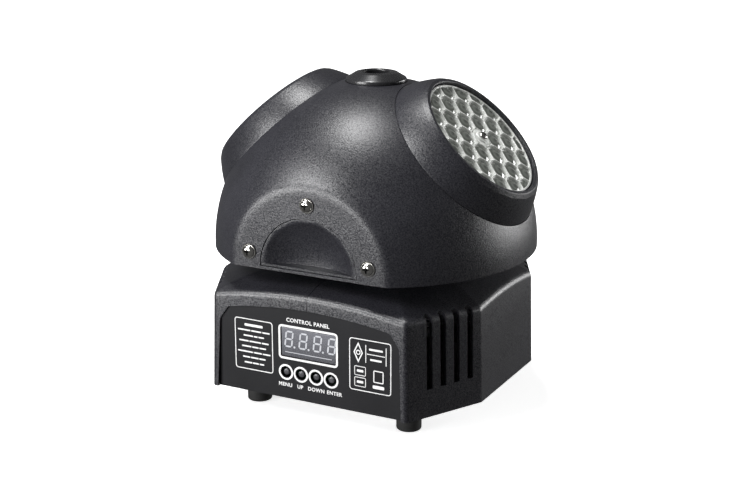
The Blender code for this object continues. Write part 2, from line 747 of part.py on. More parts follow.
def make_rear():
    face = PANEL_FACE_Y
    back = PANEL_BACK_Y
    z = UNDERSIDE_Z + CONNECTOR_Z
    panel = standing_plate("rear_panel", 1, "panel_black")
    inlet_x, inlet_z, inlet_depth = INLET_BODY
    through = (back - PLATE, face + PLATE)
    hole = box("inlet_hole", (INLET_X - inlet_x / 2 - FIT, through[0], z - inlet_z / 2 - FIT),
               (INLET_X + inlet_x / 2 + FIT, through[1], z + inlet_z / 2 + FIT))
    fuse_hole = rod("fuse_hole", FUSE_BODY + FIT, (FUSE_X, through[0], z), (FUSE_X, through[1], z))
    signal_holes = rods("signal_holes", SIGNAL_RADIUS + FIT,
                        [((x, through[0], z), (x, through[1], z))
                         for x in (SIGNAL_IN_X, SIGNAL_OUT_X)], segments=ROUND)
    cut(panel, hole, fuse_hole, signal_holes)
    seat = face + FIT
    outside = seat + FLANGE_THICKNESS
    make_inlet(z, seat, outside)
    make_signal_socket("signal_in_socket", SIGNAL_IN_X, z, seat, outside, pins=True)
    make_signal_socket("signal_out_socket", SIGNAL_OUT_X, z, seat, outside, pins=False)
    make_fuse(z, seat, outside)


def make_inlet(z, seat, outside):
    width, height = INLET_FLANGE
    flange = box("power_inlet", (INLET_X - width / 2, seat, z - height / 2),
                 (INLET_X + width / 2, outside, z + height / 2), "socket_plastic")
    width, height, depth = INLET_BODY
    body = box("inlet_body", (INLET_X - width / 2, outside - depth, z - height / 2),
               (INLET_X + width / 2, outside - FLANGE_THICKNESS / 2, z + height / 2))
    width, height, depth = INLET_CAVITY
    floor = outside - depth
    cavity = box("inlet_cavity", (INLET_X - width / 2, floor, z - height / 2),
                 (INLET_X + width / 2, outside + PLATE, z + height / 2))
    width, height, depth = INLET_PIN
    pins = boxes("inlet_pins", [((INLET_X + i * INLET_PIN_PITCH - width / 2, floor - PLATE, z - height / 2),
                                 (INLET_X + i * INLET_PIN_PITCH + width / 2, floor + depth, z + height / 2))
                                for i in (-1, 0, 1)])
    join(flange, body)
    cut(flange, cavity)
    join(flange, pins)


def make_signal_socket(name, x, z, seat, outside, pins):
    width, height = SIGNAL_FLANGE
    socket = box(name, (x - width / 2, seat, z - height / 2),
                 (x + width / 2, outside, z + height / 2), "socket_plastic")
    join(socket, rod(name + "_body", SIGNAL_RADIUS, (x, outside - SIGNAL_DEPTH, z),
                     (x, outside - FLANGE_THICKNESS / 2, z), segments=ROUND))
    places = [(x + across, z + up) for across, up in
              (polar(SIGNAL_PIN_CIRCLE, angle) for angle in (-90, 30, 150))]
    if pins:
        floor = outside - SIGNAL_CAVITY_DEPTH
        cut(socket, rod(name + "_cavity", SIGNAL_CAVITY, (x, floor, z), (x, outside + PLATE, z),
                        segments=ROUND))
        join(socket, rods(name + "_pins", SIGNAL_PIN_RADIUS,
                          [((px, floor - PLATE, pz), (px, floor + SIGNAL_PIN_LENGTH, pz))
                           for px, pz in places], segments=TINY))
    else:
        cut(socket, rods(name + "_holes", SIGNAL_PIN_RADIUS + FIT,
                         [((px, outside - SIGNAL_PIN_LENGTH, pz), (px, outside + PLATE, pz))
                          for px, pz in places], segments=TINY))


def make_fuse(z, seat, outside):
    fuse = rod("fuse_holder", FUSE_FLANGE, (FUSE_X, seat, z), (FUSE_X, outside, z), "socket_plastic")
    join(fuse, rod("fuse_body", FUSE_BODY, (FUSE_X, outside - FUSE_DEPTH, z),
                   (FUSE_X, outside - FLANGE_THICKNESS / 2, z)))
    cut(fuse, box("fuse_slot", (FUSE_X - 4 * MM, outside - 0.7 * MM, z - 0.7 * MM),
                  (FUSE_X + 4 * MM, outside + PLATE, z + 0.7 * MM)))


def standoffs(name, x, width, depth, top):
    places = [(x + sx * width / 3, sy * depth / 3) for sx in (-1, 1) for sy in (-1, 1)]
    return rods(name, STANDOFF_RADIUS,
                [((px, py, CHASSIS_TOP_Z + FIT), (px, py, top)) for px, py in places], segments=TINY)


def make_electronics():
    width, depth, height = SUPPLY
    low = CHASSIS_TOP_Z + STANDOFF
    high = low + height
    supply = box("power_supply", (SUPPLY_X - width / 2, -depth / 2, low),
                 (SUPPLY_X + width / 2, depth / 2, high), "sheet_steel")
    slot_width, slot_depth = SUPPLY_SLOT
    slots = []
    for i in range(SUPPLY_SLOTS):
        y = (i - (SUPPLY_SLOTS - 1) / 2) * SUPPLY_SLOT_PITCH
        slots.append(((SUPPLY_X - width / 3, y - slot_width / 2, high - slot_depth),
                      (SUPPLY_X + width / 3, y + slot_width / 2, high + PLATE)))
    cut(supply, boxes("supply_slots", slots))
    join(supply, standoffs("supply_feet", SUPPLY_X, width, depth, low + PLATE))

    width, depth = MAIN_BOARD
    board = box("main_board", (-width / 2, -depth / 2, low),
                (width / 2, depth / 2, low + BOARD_THICKNESS), "circuit_board")
    inside = low + BOARD_THICKNESS / 2
    chips = [((x, y, inside), (x + across, y + along, inside + tall))
             for x, y, across, along, tall in MAIN_CHIPS]
    join(board, boxes("main_chips", chips), standoffs("main_feet", 0.0, width, depth, inside))


# ---------------------------------------------------------------- pan drive

def toothed(name, teeth, radius, kind, pivot):
    # pulley teeth between two flanges
    outline = []
    for i in range(teeth):
        for share, depth in ((0.05, 0), (0.45, 0), (0.60, TOOTH), (0.90, TOOTH)):
            outline.append(polar(radius - depth, 360 * (i + share) / teeth))
    wheel = plate(name, outline, PULLEY_BOTTOM_Z + PULLEY_FLANGE / 2, PULLEY_TOP_Z - PULLEY_FLANGE / 2,
                  kind, pivot)
    lip = radius + PULLEY_LIP
    steps = min(ROUND, 2 * teeth)
    for place, low in (("lower", PULLEY_BOTTOM_Z), ("upper", PULLEY_TOP_Z - PULLEY_FLANGE)):
        high = low + PULLEY_FLANGE
        join(wheel, rod(f"{name}_{place}_flange", lip, (0, 0, low), (0, 0, high), None, pivot, steps))
    return wheel


def belt_outline(large, small):
    # round both pulleys; the motor's lies at -X
    lean = math.degrees(math.acos((large - small) / MOTOR_DISTANCE))
    outline = arc(large, -(180 - lean), 180 - lean, 20)
    outline += arc(small, 180 - lean, 180 + lean, 8, centre=(-MOTOR_DISTANCE, 0))
    return outline


def make_pan_drive(head):
    motor_axis = make_pivot("pan_motor_axis", Matrix.Translation((-MOTOR_DISTANCE, 0, 0)))
    motor_radius = PULLEY_RADIUS * MOTOR_TEETH / TEETH

    wheel = toothed("pan_pulley", TEETH, PULLEY_RADIUS, "aluminium", head)
    hub_low = BEARING_TOP_Z + FIT
    join(wheel, rod("pan_pulley_hub", SHAFT_RADIUS + PULLEY_HUB_WALL, (0, 0, hub_low),
                    (0, 0, PULLEY_BOTTOM_Z + PULLEY_FLANGE / 2), None, head, ROUND))
    cut(wheel, rod("pan_pulley_bore", SHAFT_RADIUS + FIT, (0, 0, hub_low - PLATE),
                   (0, 0, PULLEY_TOP_Z + PLATE), None, head, ROUND))

    pinion = toothed("motor_pulley", MOTOR_TEETH, motor_radius, "aluminium", motor_axis)
    shaft_low = DECK_BOTTOM_Z - MOTOR_SHAFT_SINK
    join(pinion, rod("motor_shaft", MOTOR_SHAFT, (0, 0, shaft_low),
                     (0, 0, PULLEY_TOP_Z + PLATE), None, motor_axis))

    low = PULLEY_BOTTOM_Z + PULLEY_FLANGE + FIT
    high = PULLEY_TOP_Z - PULLEY_FLANGE - FIT
    belt = plate("pan_belt", belt_outline(PULLEY_RADIUS + FIT + BELT_THICKNESS,
                                          motor_radius + FIT + BELT_THICKNESS), low, high, "belt_rubber")
    cut(belt, plate("belt_inside", belt_outline(PULLEY_RADIUS + FIT, motor_radius + FIT),
                    low - PLATE, high + PLATE))

    half = MOTOR_SIZE / 2
    top = DECK_BOTTOM_Z - FIT
    motor = box("pan_motor", (-half, -half, top - MOTOR_HEIGHT), (half, half, top), "sheet_steel",
                motor_axis)
    soften(motor, MOTOR_CORNER)
    join(motor, rod("motor_boss", MOTOR_BOSS, (0, 0, top - PLATE), (0, 0, DECK_TOP_Z), None, motor_axis))
    cut(motor, rod("motor_bore", MOTOR_SHAFT + FIT, (0, 0, shaft_low - FIT),
                   (0, 0, DECK_TOP_Z + PLATE), None, motor_axis))

    make_deck()
    outer = BEARING_RADIUS
    ring("bearing_outer_race", outer - RACE, outer, BEARING_BOTTOM_Z, BEARING_TOP_Z, "bearing_steel")
    inner = SHAFT_RADIUS + FIT
    ring("bearing_inner_race", inner, inner + RACE, BEARING_BOTTOM_Z, BEARING_TOP_Z,
         "bearing_steel", head)
    nut_top = BEARING_BOTTOM_Z - FIT
    nut = rod("shaft_nut", NUT_RADIUS, (0, 0, nut_top - NUT_HEIGHT), (0, 0, nut_top), "bearing_steel",
              head, 6)
    cut(nut, rod("nut_bore", SHAFT_RADIUS + FIT, (0, 0, nut_top - 2 * NUT_HEIGHT),
                 (0, 0, nut_top + NUT_HEIGHT), None, head, ROUND))
    flange_low = FLOOR_TOP_Z + FIT
    flange_top = flange_low + SHAFT_FLANGE_HEIGHT
    turned("pan_shaft", [
        (SHAFT_FLANGE, flange_top),
        (SHAFT_FLANGE, flange_low),
        (SHAFT_RADIUS, flange_low),
        (SHAFT_RADIUS, nut_top - NUT_HEIGHT - PLATE),
        (SHAFT_BORE, nut_top - NUT_HEIGHT - PLATE),
        (SHAFT_BORE, flange_top)], "bearing_steel", head, closed=True)


def make_deck():
    deck = box("bearing_plate", (-DECK_X, -DECK_Y, DECK_BOTTOM_Z), (DECK_LEG, DECK_Y, DECK_TOP_Z),
               "sheet_steel")
    legs = [((-DECK_LEG, min(y, y - side * PLATE), CHASSIS_TOP_Z + FIT),
             (DECK_LEG, max(y, y - side * PLATE), DECK_TOP_Z - PLATE / 2))
            for side, y in ((-1, -DECK_Y), (1, DECK_Y))]
    join(deck, boxes("deck_legs", legs))
    holes = rod("bearing_hole", BEARING_RADIUS + FIT, (0, 0, DECK_BOTTOM_Z - PLATE),
                (0, 0, DECK_TOP_Z + PLATE), segments=ROUND)
    boss_hole = rod("boss_hole", MOTOR_BOSS + FIT, (-MOTOR_DISTANCE, 0, DECK_BOTTOM_Z - PLATE),
                    (-MOTOR_DISTANCE, 0, DECK_TOP_Z + PLATE))
    cut(deck, holes, boss_hole)


# ---------------------------------------------------------------- head structure

def make_head_structure(head):
    bore = SHAFT_RADIUS + FIT
    turned("turntable", [
        (TURNTABLE_RADIUS, FLOOR_Z - FIT),
        (TURNTABLE_RADIUS, TURNTABLE_Z + HUB_EDGE),
        (TURNTABLE_RADIUS - HUB_EDGE, TURNTABLE_Z),
        (TURNTABLE_HUB, TURNTABLE_Z),
        (TURNTABLE_HUB, PULLEY_TOP_Z + FIT),
        (bore, PULLEY_TOP_Z + FIT),
        (bore, FLOOR_Z - FIT)], "black_plastic", head, closed=True)

    floor_radius = HEAD_RADIUS - HEAD_WALL - RUN
    floor = ring("head_floor", bore, floor_radius, FLOOR_Z, FLOOR_TOP_Z, "sheet_steel", head)
    flat = FLAT_Y - INSERT_DEPTH - RUN
    keep(floor, box("floor_flats", (-HEAD_RADIUS, -flat, 0), (HEAD_RADIUS, flat, 2 * HEAD_Z), None, head))
    air = [((x, y, FLOOR_Z - PLATE), (x, y, FLOOR_TOP_Z + PLATE))
           for x, y in (polar(FLOOR_AIR_CIRCLE, angle) for angle in FLOOR_AIR_ANGLES)]
    cut(floor, rods("floor_air_holes", FLOOR_AIR_HOLE, air, None, head))

    make_inner_frame(head)


def screw_places():
    low_x, low_z = polar(SCREW_CIRCLE, SCREW_LOW_ANGLE)
    return (("left", -low_x, HEAD_Z + low_z), ("right", low_x, HEAD_Z + low_z),
            ("top", 0.0, HEAD_Z + SCREW_CIRCLE))


def upright_radius():
    inner = HEAD_RADIUS - HEAD_WALL
    return math.sqrt(inner ** 2 - UPRIGHT_Y ** 2) - UPRIGHT_MARGIN


def make_inner_frame(head):
    top = FRAME_Z + PLATE
    frame = box("inner_frame", (-FRAME_HALF_WIDTH, -UPRIGHT_Y, FRAME_Z),
                (FRAME_HALF_WIDTH, UPRIGHT_Y, top), "sheet_steel", head)
    radius = upright_radius()
    outline = arc(radius, 0, 180, 14, centre=(0, FRAME_Z))
    for side, place in ((-1, "front"), (1, "rear")):
        outer = side * UPRIGHT_Y
        inner = side * (UPRIGHT_Y - PLATE)
        join(frame, plate(f"{place}_upright", outline, min(outer, inner), max(outer, inner),
                          None, head, UPRIGHT))
    reach = UPRIGHT_Y + PLATE
    holes = [((x, side * (UPRIGHT_Y - 2 * PLATE), z), (x, side * reach, z))
             for side in (-1, 1) for name, x, z in screw_places()]
    shaft_hole = rod("frame_shaft_hole", SHAFT_FLANGE + FIT, (0, 0, FRAME_Z - PLATE),
                     (0, 0, top + PLATE), None, head, 24)
    fan_z = top + FIT + FAN_SIZE / 2
    fan_hole = rod("frame_fan_hole", FAN_DUCT - PLATE / 2, (0, UPRIGHT_Y - 2 * PLATE, fan_z),
                   (0, reach, fan_z), None, head, 24)
    cut(frame, rods("frame_screw_holes", SCREW_SHANK + FIT, holes, None, head, TINY), shaft_hole, fan_hole)
    make_fan(head, fan_z)
    make_driver_board(head, top)


def make_fan(head, z):
    rear = UPRIGHT_Y - PLATE - FIT
    front = rear - FAN_DEPTH
    half = FAN_SIZE / 2
    frame = box("fan_frame", (-half, front, z - half), (half, rear, z + half), "socket_plastic", head)
    duct = rod("fan_duct", FAN_DUCT, (0, front - PLATE, z), (0, rear + PLATE, z), None, head, 24)
    width, thickness = FAN_STRUT
    side = width / 2
    end = (half + FAN_DUCT) / 2
    middle = FAN_HUB / 2
    struts = boxes("fan_struts", [
        ((-end, rear - thickness, z - side), (end, rear, z + side)),
        ((-side, rear - thickness, z - end), (side, rear, z - middle)),
        ((-side, rear - thickness, z + middle), (side, rear, z + end))], None, head)
    spindle = rod("fan_spindle", FAN_HUB - FAN_SPINDLE, (0, rear - FAN_SPINDLE, z), (0, rear, z), None, head)
    cut(frame, duct)
    join(frame, struts, spindle)

    pivot = make_pivot("fan_axis", Matrix.Translation((0, 0, z)))
    rotor_front = front + 2 * FIT
    rotor_rear = rear - FAN_SPINDLE - FIT
    rotor = rod("fan_rotor", FAN_HUB, (0, rotor_front, 0), (0, rotor_rear, 0), "socket_plastic", pivot)
    blades = bmesh.new()
    thickness, chord = BLADE
    for i in range(FAN_BLADES):
        start = len(blades.verts)
        add_cube(blades, (-thickness / 2, -chord / 2, FAN_HUB - thickness),
                 (thickness / 2, chord / 2, FAN_DUCT - RUN))
        blades.verts.ensure_lookup_table()
        turn = Matrix.Rotation(math.tau * i / FAN_BLADES, 4, "Y")
        turn = turn @ Matrix.Rotation(math.radians(BLADE_PITCH), 4, "Z")
        middle = Matrix.Translation((0, (front + rotor_rear) / 2, 0))
        bmesh.ops.transform(blades, matrix=middle @ turn, verts=blades.verts[start:])
    join(rotor, add_object("fan_blades", mesh_from("fan_blades", blades), None, pivot))


def make_driver_board(head, low):
    width, height = DRIVER_BOARD
    front = -(UPRIGHT_Y - PLATE - 2 * FIT)
    back = front + BOARD_THICKNESS
    board = box("driver_board", (-width / 2, front, low + FIT), (width / 2, back, low + FIT + height),
                "circuit_board", head)
    middle = low + height / 2
    across, along, tall = DRIVER_CHIP
    chips = []
    for i in (-1, 0, 1):
        x = i * DRIVER_CHIP_PITCH
        chips.append(((x - across / 2, back - BOARD_THICKNESS / 2, middle - along / 2),
                      (x + across / 2, back + tall, middle + along / 2)))
    join(board, boxes("driver_chips", chips, None, head))


# ---------------------------------------------------------------- dome and its fittings

def dome_profile(radius, bottom, count=8):
    profile = [(x, HEAD_Z + y) for x, y in arc(radius, 90, 0, count)]
    profile[0] = (0.0, HEAD_Z + radius)
    return profile + [(radius, bottom), (0.0, bottom)]


def half_moon(name, radius, near, far, low, kind=None, pivot=None):
    outline = [(x, max(z, low)) for x, z in arc(radius, 0, 180, 20, centre=(0, HEAD_Z))]
    return plate(name, outline, min(near, far), max(near, far), kind, pivot, UPRIGHT)


def make_dome(head, engines):
    dome = turned("dome", dome_profile(HEAD_RADIUS, HEAD_BOTTOM_Z), "black_plastic", head,
                  steps=DOME_SEGMENTS)
    reach = 2 * HEAD_RADIUS
    keep(dome, box("dome_flats", (-reach, -FLAT_Y, 0), (reach, FLAT_Y, 2 * reach), None, head))
    inside = turned("dome_inside", dome_profile(HEAD_RADIUS - HEAD_WALL, HEAD_BOTTOM_Z - HEAD_WALL),
                    None, head, steps=DOME_SEGMENTS)
    inner_flat = FLAT_Y - HEAD_WALL
    keep(inside, box("inside_flats", (-reach, -inner_flat, 0), (reach, inner_flat, 2 * reach), None, head))
    cut(dome, inside)
    for name, engine in engines:
        cut(dome, rod(f"dome_hole_{name}", BARREL_RADIUS + FIT, (0, 0, SEAM_REACH / 2),
                      (0, 0, 2 * HEAD_RADIUS), None, engine, BARREL_SEGMENTS))
    seat = rod("cap_seat", CAP_RADIUS + FIT, (0, 0, APEX_Z - CAP_SEAT), (0, 0, APEX_Z + CAP_RISE),
               None, head, ROUND)
    stem_hole = rod("cap_stem_hole", CAP_STEM + FIT, (0, 0, HEAD_Z + HEAD_RADIUS / 2),
                    (0, 0, APEX_Z + CAP_RISE), None, head, 24)
    moons = [half_moon(f"{place}_moon_hole", INSERT_RADIUS, side * (FLAT_Y - 3 * HEAD_WALL),
                       side * (FLAT_Y + HEAD_WALL), HEAD_Z, None, head)
             for side, place in ((-1, "front"), (1, "rear"))]
    holes = [((x, side * (FLAT_Y - 2 * HEAD_WALL), z), (x, side * (FLAT_Y + HEAD_WALL), z))
             for side in (-1, 1) for name, x, z in screw_places()]
    cut(dome, seat, stem_hole, *moons, rods("dome_screw_holes", SCREW_SHANK + FIT, holes, None, head, TINY))


def make_inserts(head):
    for side, place in ((-1, "front"), (1, "rear")):
        face = side * (FLAT_Y - FIT)
        insert = half_moon(f"{place}_insert", INSERT_RADIUS - FIT, face, side * (FLAT_Y - INSERT_DEPTH),
                           HEAD_Z + FIT, "black_plastic", head)
        # a ball whose cap leaves a scoop of the stated radius and depth
        ball = (SCOOP_RADIUS ** 2 + SCOOP_DEPTH ** 2) / (2 * SCOOP_DEPTH)
        scoop = bmesh.new()
        centre = (0, side * (FLAT_Y - FIT - SCOOP_DEPTH + ball), HEAD_Z)
        bmesh.ops.create_uvsphere(scoop, u_segments=36, v_segments=28, radius=ball,
                                  matrix=Matrix.Translation(centre))
        scoop_tool = add_object(f"{place}_scoop", mesh_from(f"{place}_scoop", scoop), None, head)
        near = side * (FLAT_Y - INSERT_DEPTH)
        far = side * HEAD_RADIUS
        reach = HEAD_RADIUS
        keep(scoop_tool, box(f"{place}_scoop_window",
                             (-reach, min(near, far), HEAD_Z + FIT + SCOOP_LEDGE),
                             (reach, max(near, far), HEAD_Z + reach), None, head))
        cut(insert, scoop_tool)
        make_housing_screws(head, side, place)


def make_housing_screws(head, side, place):
    end = UPRIGHT_Y - PLATE / 2
    for name, x, z in screw_places():
        pivot = make_pivot(f"screw_{place}_{name}_place",
                           Matrix.Translation((x, side * (FLAT_Y + FIT), z))
                           @ Matrix.Rotation(-side * math.pi / 2, 4, "X"))
        crown = SCREW_HEAD_HEIGHT
        length = FLAT_Y + FIT - end
        screw = turned(f"housing_screw_{place}_{name}", [
            (0, crown),
            (SCREW_HEAD * 0.70, crown * 0.80),
            (SCREW_HEAD, crown * 0.20),
            (SCREW_HEAD, 0),
            (SCREW_SHANK, 0),
            (SCREW_SHANK, -length),
            (0, -length)], "nickel", pivot, steps=12)
        reach, wing = SCREW_CROSS
        cross = box(f"cross_{place}_{name}", (-reach, -wing, crown * 0.35),
                    (reach, wing, crown * 2), None, pivot)
        join(cross, box(f"cross_{place}_{name}_b", (-wing, -reach, crown * 0.35),
                        (wing, reach, crown * 2), None, pivot))
        cut(screw, cross)


def make_cap(head):
    top = APEX_Z + CAP_RISE
    seat = APEX_Z - CAP_SEAT + FIT
    floor = seat - CAP_STEM_LENGTH + 2 * MM
    crown = [(CAP_HOLE + 1.0 * MM, top), (CAP_HOLE + 4 * MM, top - 0.6 * MM),
             (CAP_RADIUS - 1.8 * MM, seat + CAP_BAND + 1.0 * MM)]
    turned("top_cap", [
        (0, floor),
        (CAP_HOLE, floor),
        (CAP_HOLE, top - 0.7 * MM),
        *crown,
        (CAP_RADIUS, seat + CAP_BAND),
        (CAP_RADIUS, seat),
        (CAP_STEM, seat),
        (CAP_STEM, seat - CAP_STEM_LENGTH),
        (0, seat - CAP_STEM_LENGTH)], "black_plastic", head, steps=ROUND)


# ---------------------------------------------------------------- lens barrels and lamp engines

def barrel_profile():
    # from the rim down the outer side, then up the bore
    seam = SEAM_REACH
    outer = [(RIM_RADIUS - RIM_CHAMFER, RIM_REACH), (RIM_RADIUS, RIM_REACH - RIM_CHAMFER)]
    steps = 3
    for i in range(1, steps):
        share = i / steps
        radius = RIM_RADIUS + (BARREL_RADIUS - RIM_RADIUS) * share
        swell = BARREL_SWELL * 4 * share * (1 - share)
        outer.append((radius + swell, RIM_REACH - RIM_CHAMFER - (BARREL_RISE - RIM_CHAMFER) * share))
    low = seam - BARREL_SINK
    shelf = low + BARREL_WALL
    bore = LENS_RADIUS + RUN
    return outer + [
        (BARREL_RADIUS, seam),
        (BARREL_RADIUS, shelf),
        (BARREL_RADIUS + BARREL_FLANGE, shelf),
        (BARREL_RADIUS + BARREL_FLANGE, low),
        (BARREL_RADIUS - BARREL_WALL, low),
        (BARREL_RADIUS - BARREL_WALL, seam - BARREL_WALL / 2),
        (bore, LENS_BACK - 1.5 * MM),
        (bore, RIM_REACH - RIM_CHAMFER),
        (bore + RIM_CHAMFER, RIM_REACH)]


def make_engine(hand, fixed, spin):
    turned(f"barrel_{hand}", barrel_profile(), "black_plastic", fixed, BARREL_SEGMENTS, closed=True)
    make_lens(hand, spin)

    board = rod(f"led_board_{hand}", ENGINE_RADIUS, (0, 0, LED_BACK),
                (0, 0, LED_BACK + BOARD_THICKNESS), "circuit_board", fixed, ROUND)
    leds = bmesh.new()
    for count, circle in LED_RINGS:
        for i in range(count):
            x, y = polar(circle, 360 * i / count)
            add_rod(leds, LED_RADIUS, (x, y, LED_BACK + BOARD_THICKNESS / 2),
                    (x, y, LED_BACK + BOARD_THICKNESS + LED_HEIGHT), 6)
    join(board, add_object(f"leds_{hand}", mesh_from(f"leds_{hand}", leds), None, fixed))
    bore = LENS_SHAFT + RUN
    cut(board, rod(f"led_bore_{hand}", bore, (0, 0, SINK_BACK), (0, 0, LENS_BACK), None, fixed, 16))

    sink = rod(f"heat_sink_{hand}", ENGINE_RADIUS, (0, 0, SINK_BACK), (0, 0, SINK_TOP),
               "aluminium", fixed, ROUND)
    pitch = 2 * ENGINE_RADIUS / FIN_COUNT
    gap = (pitch - FIN_THICKNESS) / 2
    gaps = []
    for i in range(1, FIN_COUNT):
        y = -ENGINE_RADIUS + pitch * i
        gaps.append(((-ENGINE_RADIUS - PLATE, y - gap, SINK_BACK - PLATE),
                     (ENGINE_RADIUS + PLATE, y + gap, SINK_TOP - SINK_BASE)))
    cut(sink, boxes(f"sink_gaps_{hand}", gaps, None, fixed),
        rod(f"sink_bore_{hand}", bore, (0, 0, SINK_BACK - PLATE), (0, 0, SINK_TOP + PLATE), None, fixed, 16))

    low = LENS_MOTOR_TOP - LENS_MOTOR_HEIGHT
    motor = turned(f"lens_motor_{hand}", [
        (0, LENS_MOTOR_TOP),
        (LENS_MOTOR_RADIUS - LENS_MOTOR_EDGE, LENS_MOTOR_TOP),
        (LENS_MOTOR_RADIUS, LENS_MOTOR_TOP - LENS_MOTOR_EDGE),
        (LENS_MOTOR_RADIUS, low + LENS_MOTOR_EDGE),
        (LENS_MOTOR_RADIUS - LENS_MOTOR_EDGE, low),
        (0, low)], "sheet_steel", fixed, steps=16)
    cut(motor, rod(f"lens_motor_bore_{hand}", LENS_SHAFT + FIT, (0, 0, LENS_MOTOR_TOP - LENS_MOTOR_BORE),
                   (0, 0, LENS_MOTOR_TOP + PLATE), None, fixed, 16))


def make_lens(hand, spin):
    boss_top = LENS_TOP + LENS_BOSS_HEIGHT
    lens = turned(f"lens_plate_{hand}", [
        (0, boss_top),
        (LENS_BOSS, boss_top),
        (LENS_BOSS, LENS_TOP),
        (LENS_RADIUS - LENS_EDGE, LENS_TOP),
        (LENS_RADIUS, LENS_TOP - LENS_EDGE),
        (LENS_RADIUS, LENS_BACK),
        (0, LENS_BACK)], "clear_lens", spin, BARREL_SEGMENTS)
    hole = LENS_SCREW_SHANK + FIT
    cut(lens, rod(f"lens_hole_{hand}", hole, (0, 0, LENS_BACK - PLATE), (0, 0, boss_top + PLATE),
                  None, spin, 16))
    head_low = boss_top + FIT
    head_top = head_low + LENS_SCREW_HEIGHT
    screw_end = head_low - LENS_SCREW_LENGTH
    screw = turned(f"lens_screw_{hand}", [
        (0, head_top),
        (LENS_SCREW_HEAD * 0.6, head_top - 0.15 * MM),
        (LENS_SCREW_HEAD, head_low + 0.5 * MM),
        (LENS_SCREW_HEAD, head_low),
        (LENS_SCREW_SHANK, head_low),
        (LENS_SCREW_SHANK, screw_end),
        (0, screw_end)], "nickel", spin, steps=12)
    reach, wing = LENS_CROSS
    floor = head_low + LENS_CROSS_FLOOR
    cross = box(f"lens_cross_{hand}", (-reach, -wing, floor), (reach, wing, head_top + PLATE), None, spin)
    join(cross, box(f"lens_cross_{hand}_b", (-wing, -reach, floor), (wing, reach, head_top + PLATE),
                    None, spin))
    cut(screw, cross)
    shaft_top = LENS_BACK - FIT
    shaft = rod(f"lens_shaft_{hand}", LENS_SHAFT, (0, 0, LENS_MOTOR_TOP - LENS_MOTOR_BORE + FIT),
                (0, 0, shaft_top), "bearing_steel", spin, 16)
    cut(shaft, rod(f"lens_shaft_bore_{hand}", hole, (0, 0, screw_end - FIT), (0, 0, shaft_top + PLATE),
                   None, spin, 12))


def make_head():
    head = make_pivot("pan_axis", Matrix.Translation((0, 0, 0)))
    engines = []
    for side, hand in ((-1, "left"), (1, "right")):
        tilt = Matrix.Translation((0, 0, HEAD_Z)) @ Matrix.Rotation(math.radians(side * BARREL_TILT), 4, "Y")
        fixed = make_pivot(f"barrel_axis_{hand}", tilt)
        spin = make_pivot(f"lens_axis_{hand}", tilt)
        make_engine(hand, fixed, spin)
        engines.append((hand, fixed))
    make_head_structure(head)
    make_dome(head, engines)
    make_inserts(head)
    make_cap(head)
    return head


make_feet()
make_chassis()
make_covers()
make_front()
make_rear()
make_electronics()
make_pan_drive(make_head())

for part in PARTS_COLLECTION.objects:
    if part.type == "MESH" and part.data.polygons:
        part.data.shade_smooth()
        part.data.set_sharp_from_angle(angle=math.radians(35))
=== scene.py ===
import json
import math

import bpy
import bmesh
from mathutils import Matrix, Vector


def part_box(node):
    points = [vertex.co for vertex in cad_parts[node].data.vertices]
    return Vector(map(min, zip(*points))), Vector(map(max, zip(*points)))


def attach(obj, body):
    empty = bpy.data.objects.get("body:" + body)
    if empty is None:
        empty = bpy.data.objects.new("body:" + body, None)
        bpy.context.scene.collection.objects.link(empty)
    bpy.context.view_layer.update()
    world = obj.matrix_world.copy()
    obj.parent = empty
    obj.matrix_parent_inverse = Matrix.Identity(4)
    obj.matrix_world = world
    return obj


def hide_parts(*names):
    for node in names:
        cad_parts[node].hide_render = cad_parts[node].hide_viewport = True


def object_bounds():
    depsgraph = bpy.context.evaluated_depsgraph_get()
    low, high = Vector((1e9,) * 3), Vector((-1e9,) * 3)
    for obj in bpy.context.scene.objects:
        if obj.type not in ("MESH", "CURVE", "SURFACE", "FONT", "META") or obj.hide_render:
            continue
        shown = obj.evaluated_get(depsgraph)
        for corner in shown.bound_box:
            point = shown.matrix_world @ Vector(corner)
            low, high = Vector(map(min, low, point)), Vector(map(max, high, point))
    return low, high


# Moving head light: dark domed head with two honeycomb lens plates on an octagonal base.
# Metres, +Z up, front towards -Y, as in the frame.

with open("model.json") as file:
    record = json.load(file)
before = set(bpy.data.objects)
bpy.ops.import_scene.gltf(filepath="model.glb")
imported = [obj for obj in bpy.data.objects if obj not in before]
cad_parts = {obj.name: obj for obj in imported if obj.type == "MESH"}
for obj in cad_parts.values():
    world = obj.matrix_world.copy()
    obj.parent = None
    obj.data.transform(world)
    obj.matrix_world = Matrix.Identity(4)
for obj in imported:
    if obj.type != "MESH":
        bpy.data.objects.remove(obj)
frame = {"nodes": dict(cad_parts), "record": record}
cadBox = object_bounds()
mm = 0.001
fit = 0.3 * mm  # gap between neighbours
print("frame loaded:", len(frame["nodes"]), "nodes")


# ---- small tools for meshes

def addItem(name, mesh):
    item = bpy.data.objects.new(name, mesh)
    bpy.context.scene.collection.objects.link(item)
    return item


def discard(*items):
    for item in items:
        bpy.data.objects.remove(item, do_unlink=True)


def smoothShade(item, angle=38):
    item.data.shade_smooth()
    item.data.set_sharp_from_angle(angle=math.radians(angle))
    return item


def shapeItem(name, shape, material=None, angle=38):
    bmesh.ops.recalc_face_normals(shape, faces=shape.faces)
    mesh = bpy.data.meshes.new(name)
    shape.to_mesh(mesh)
    shape.free()
    if material is not None:
        mesh.materials.append(material)
    return smoothShade(addItem(name, mesh), angle)


def settle(item):
    # the evaluated result becomes the item's own mesh, with no modifiers left
    bpy.context.view_layer.update()
    evaluated = item.evaluated_get(bpy.context.evaluated_depsgraph_get())
    mesh = bpy.data.meshes.new_from_object(evaluated)
    item.modifiers.clear()
    item.data = mesh
    mesh.name = item.name
    return item


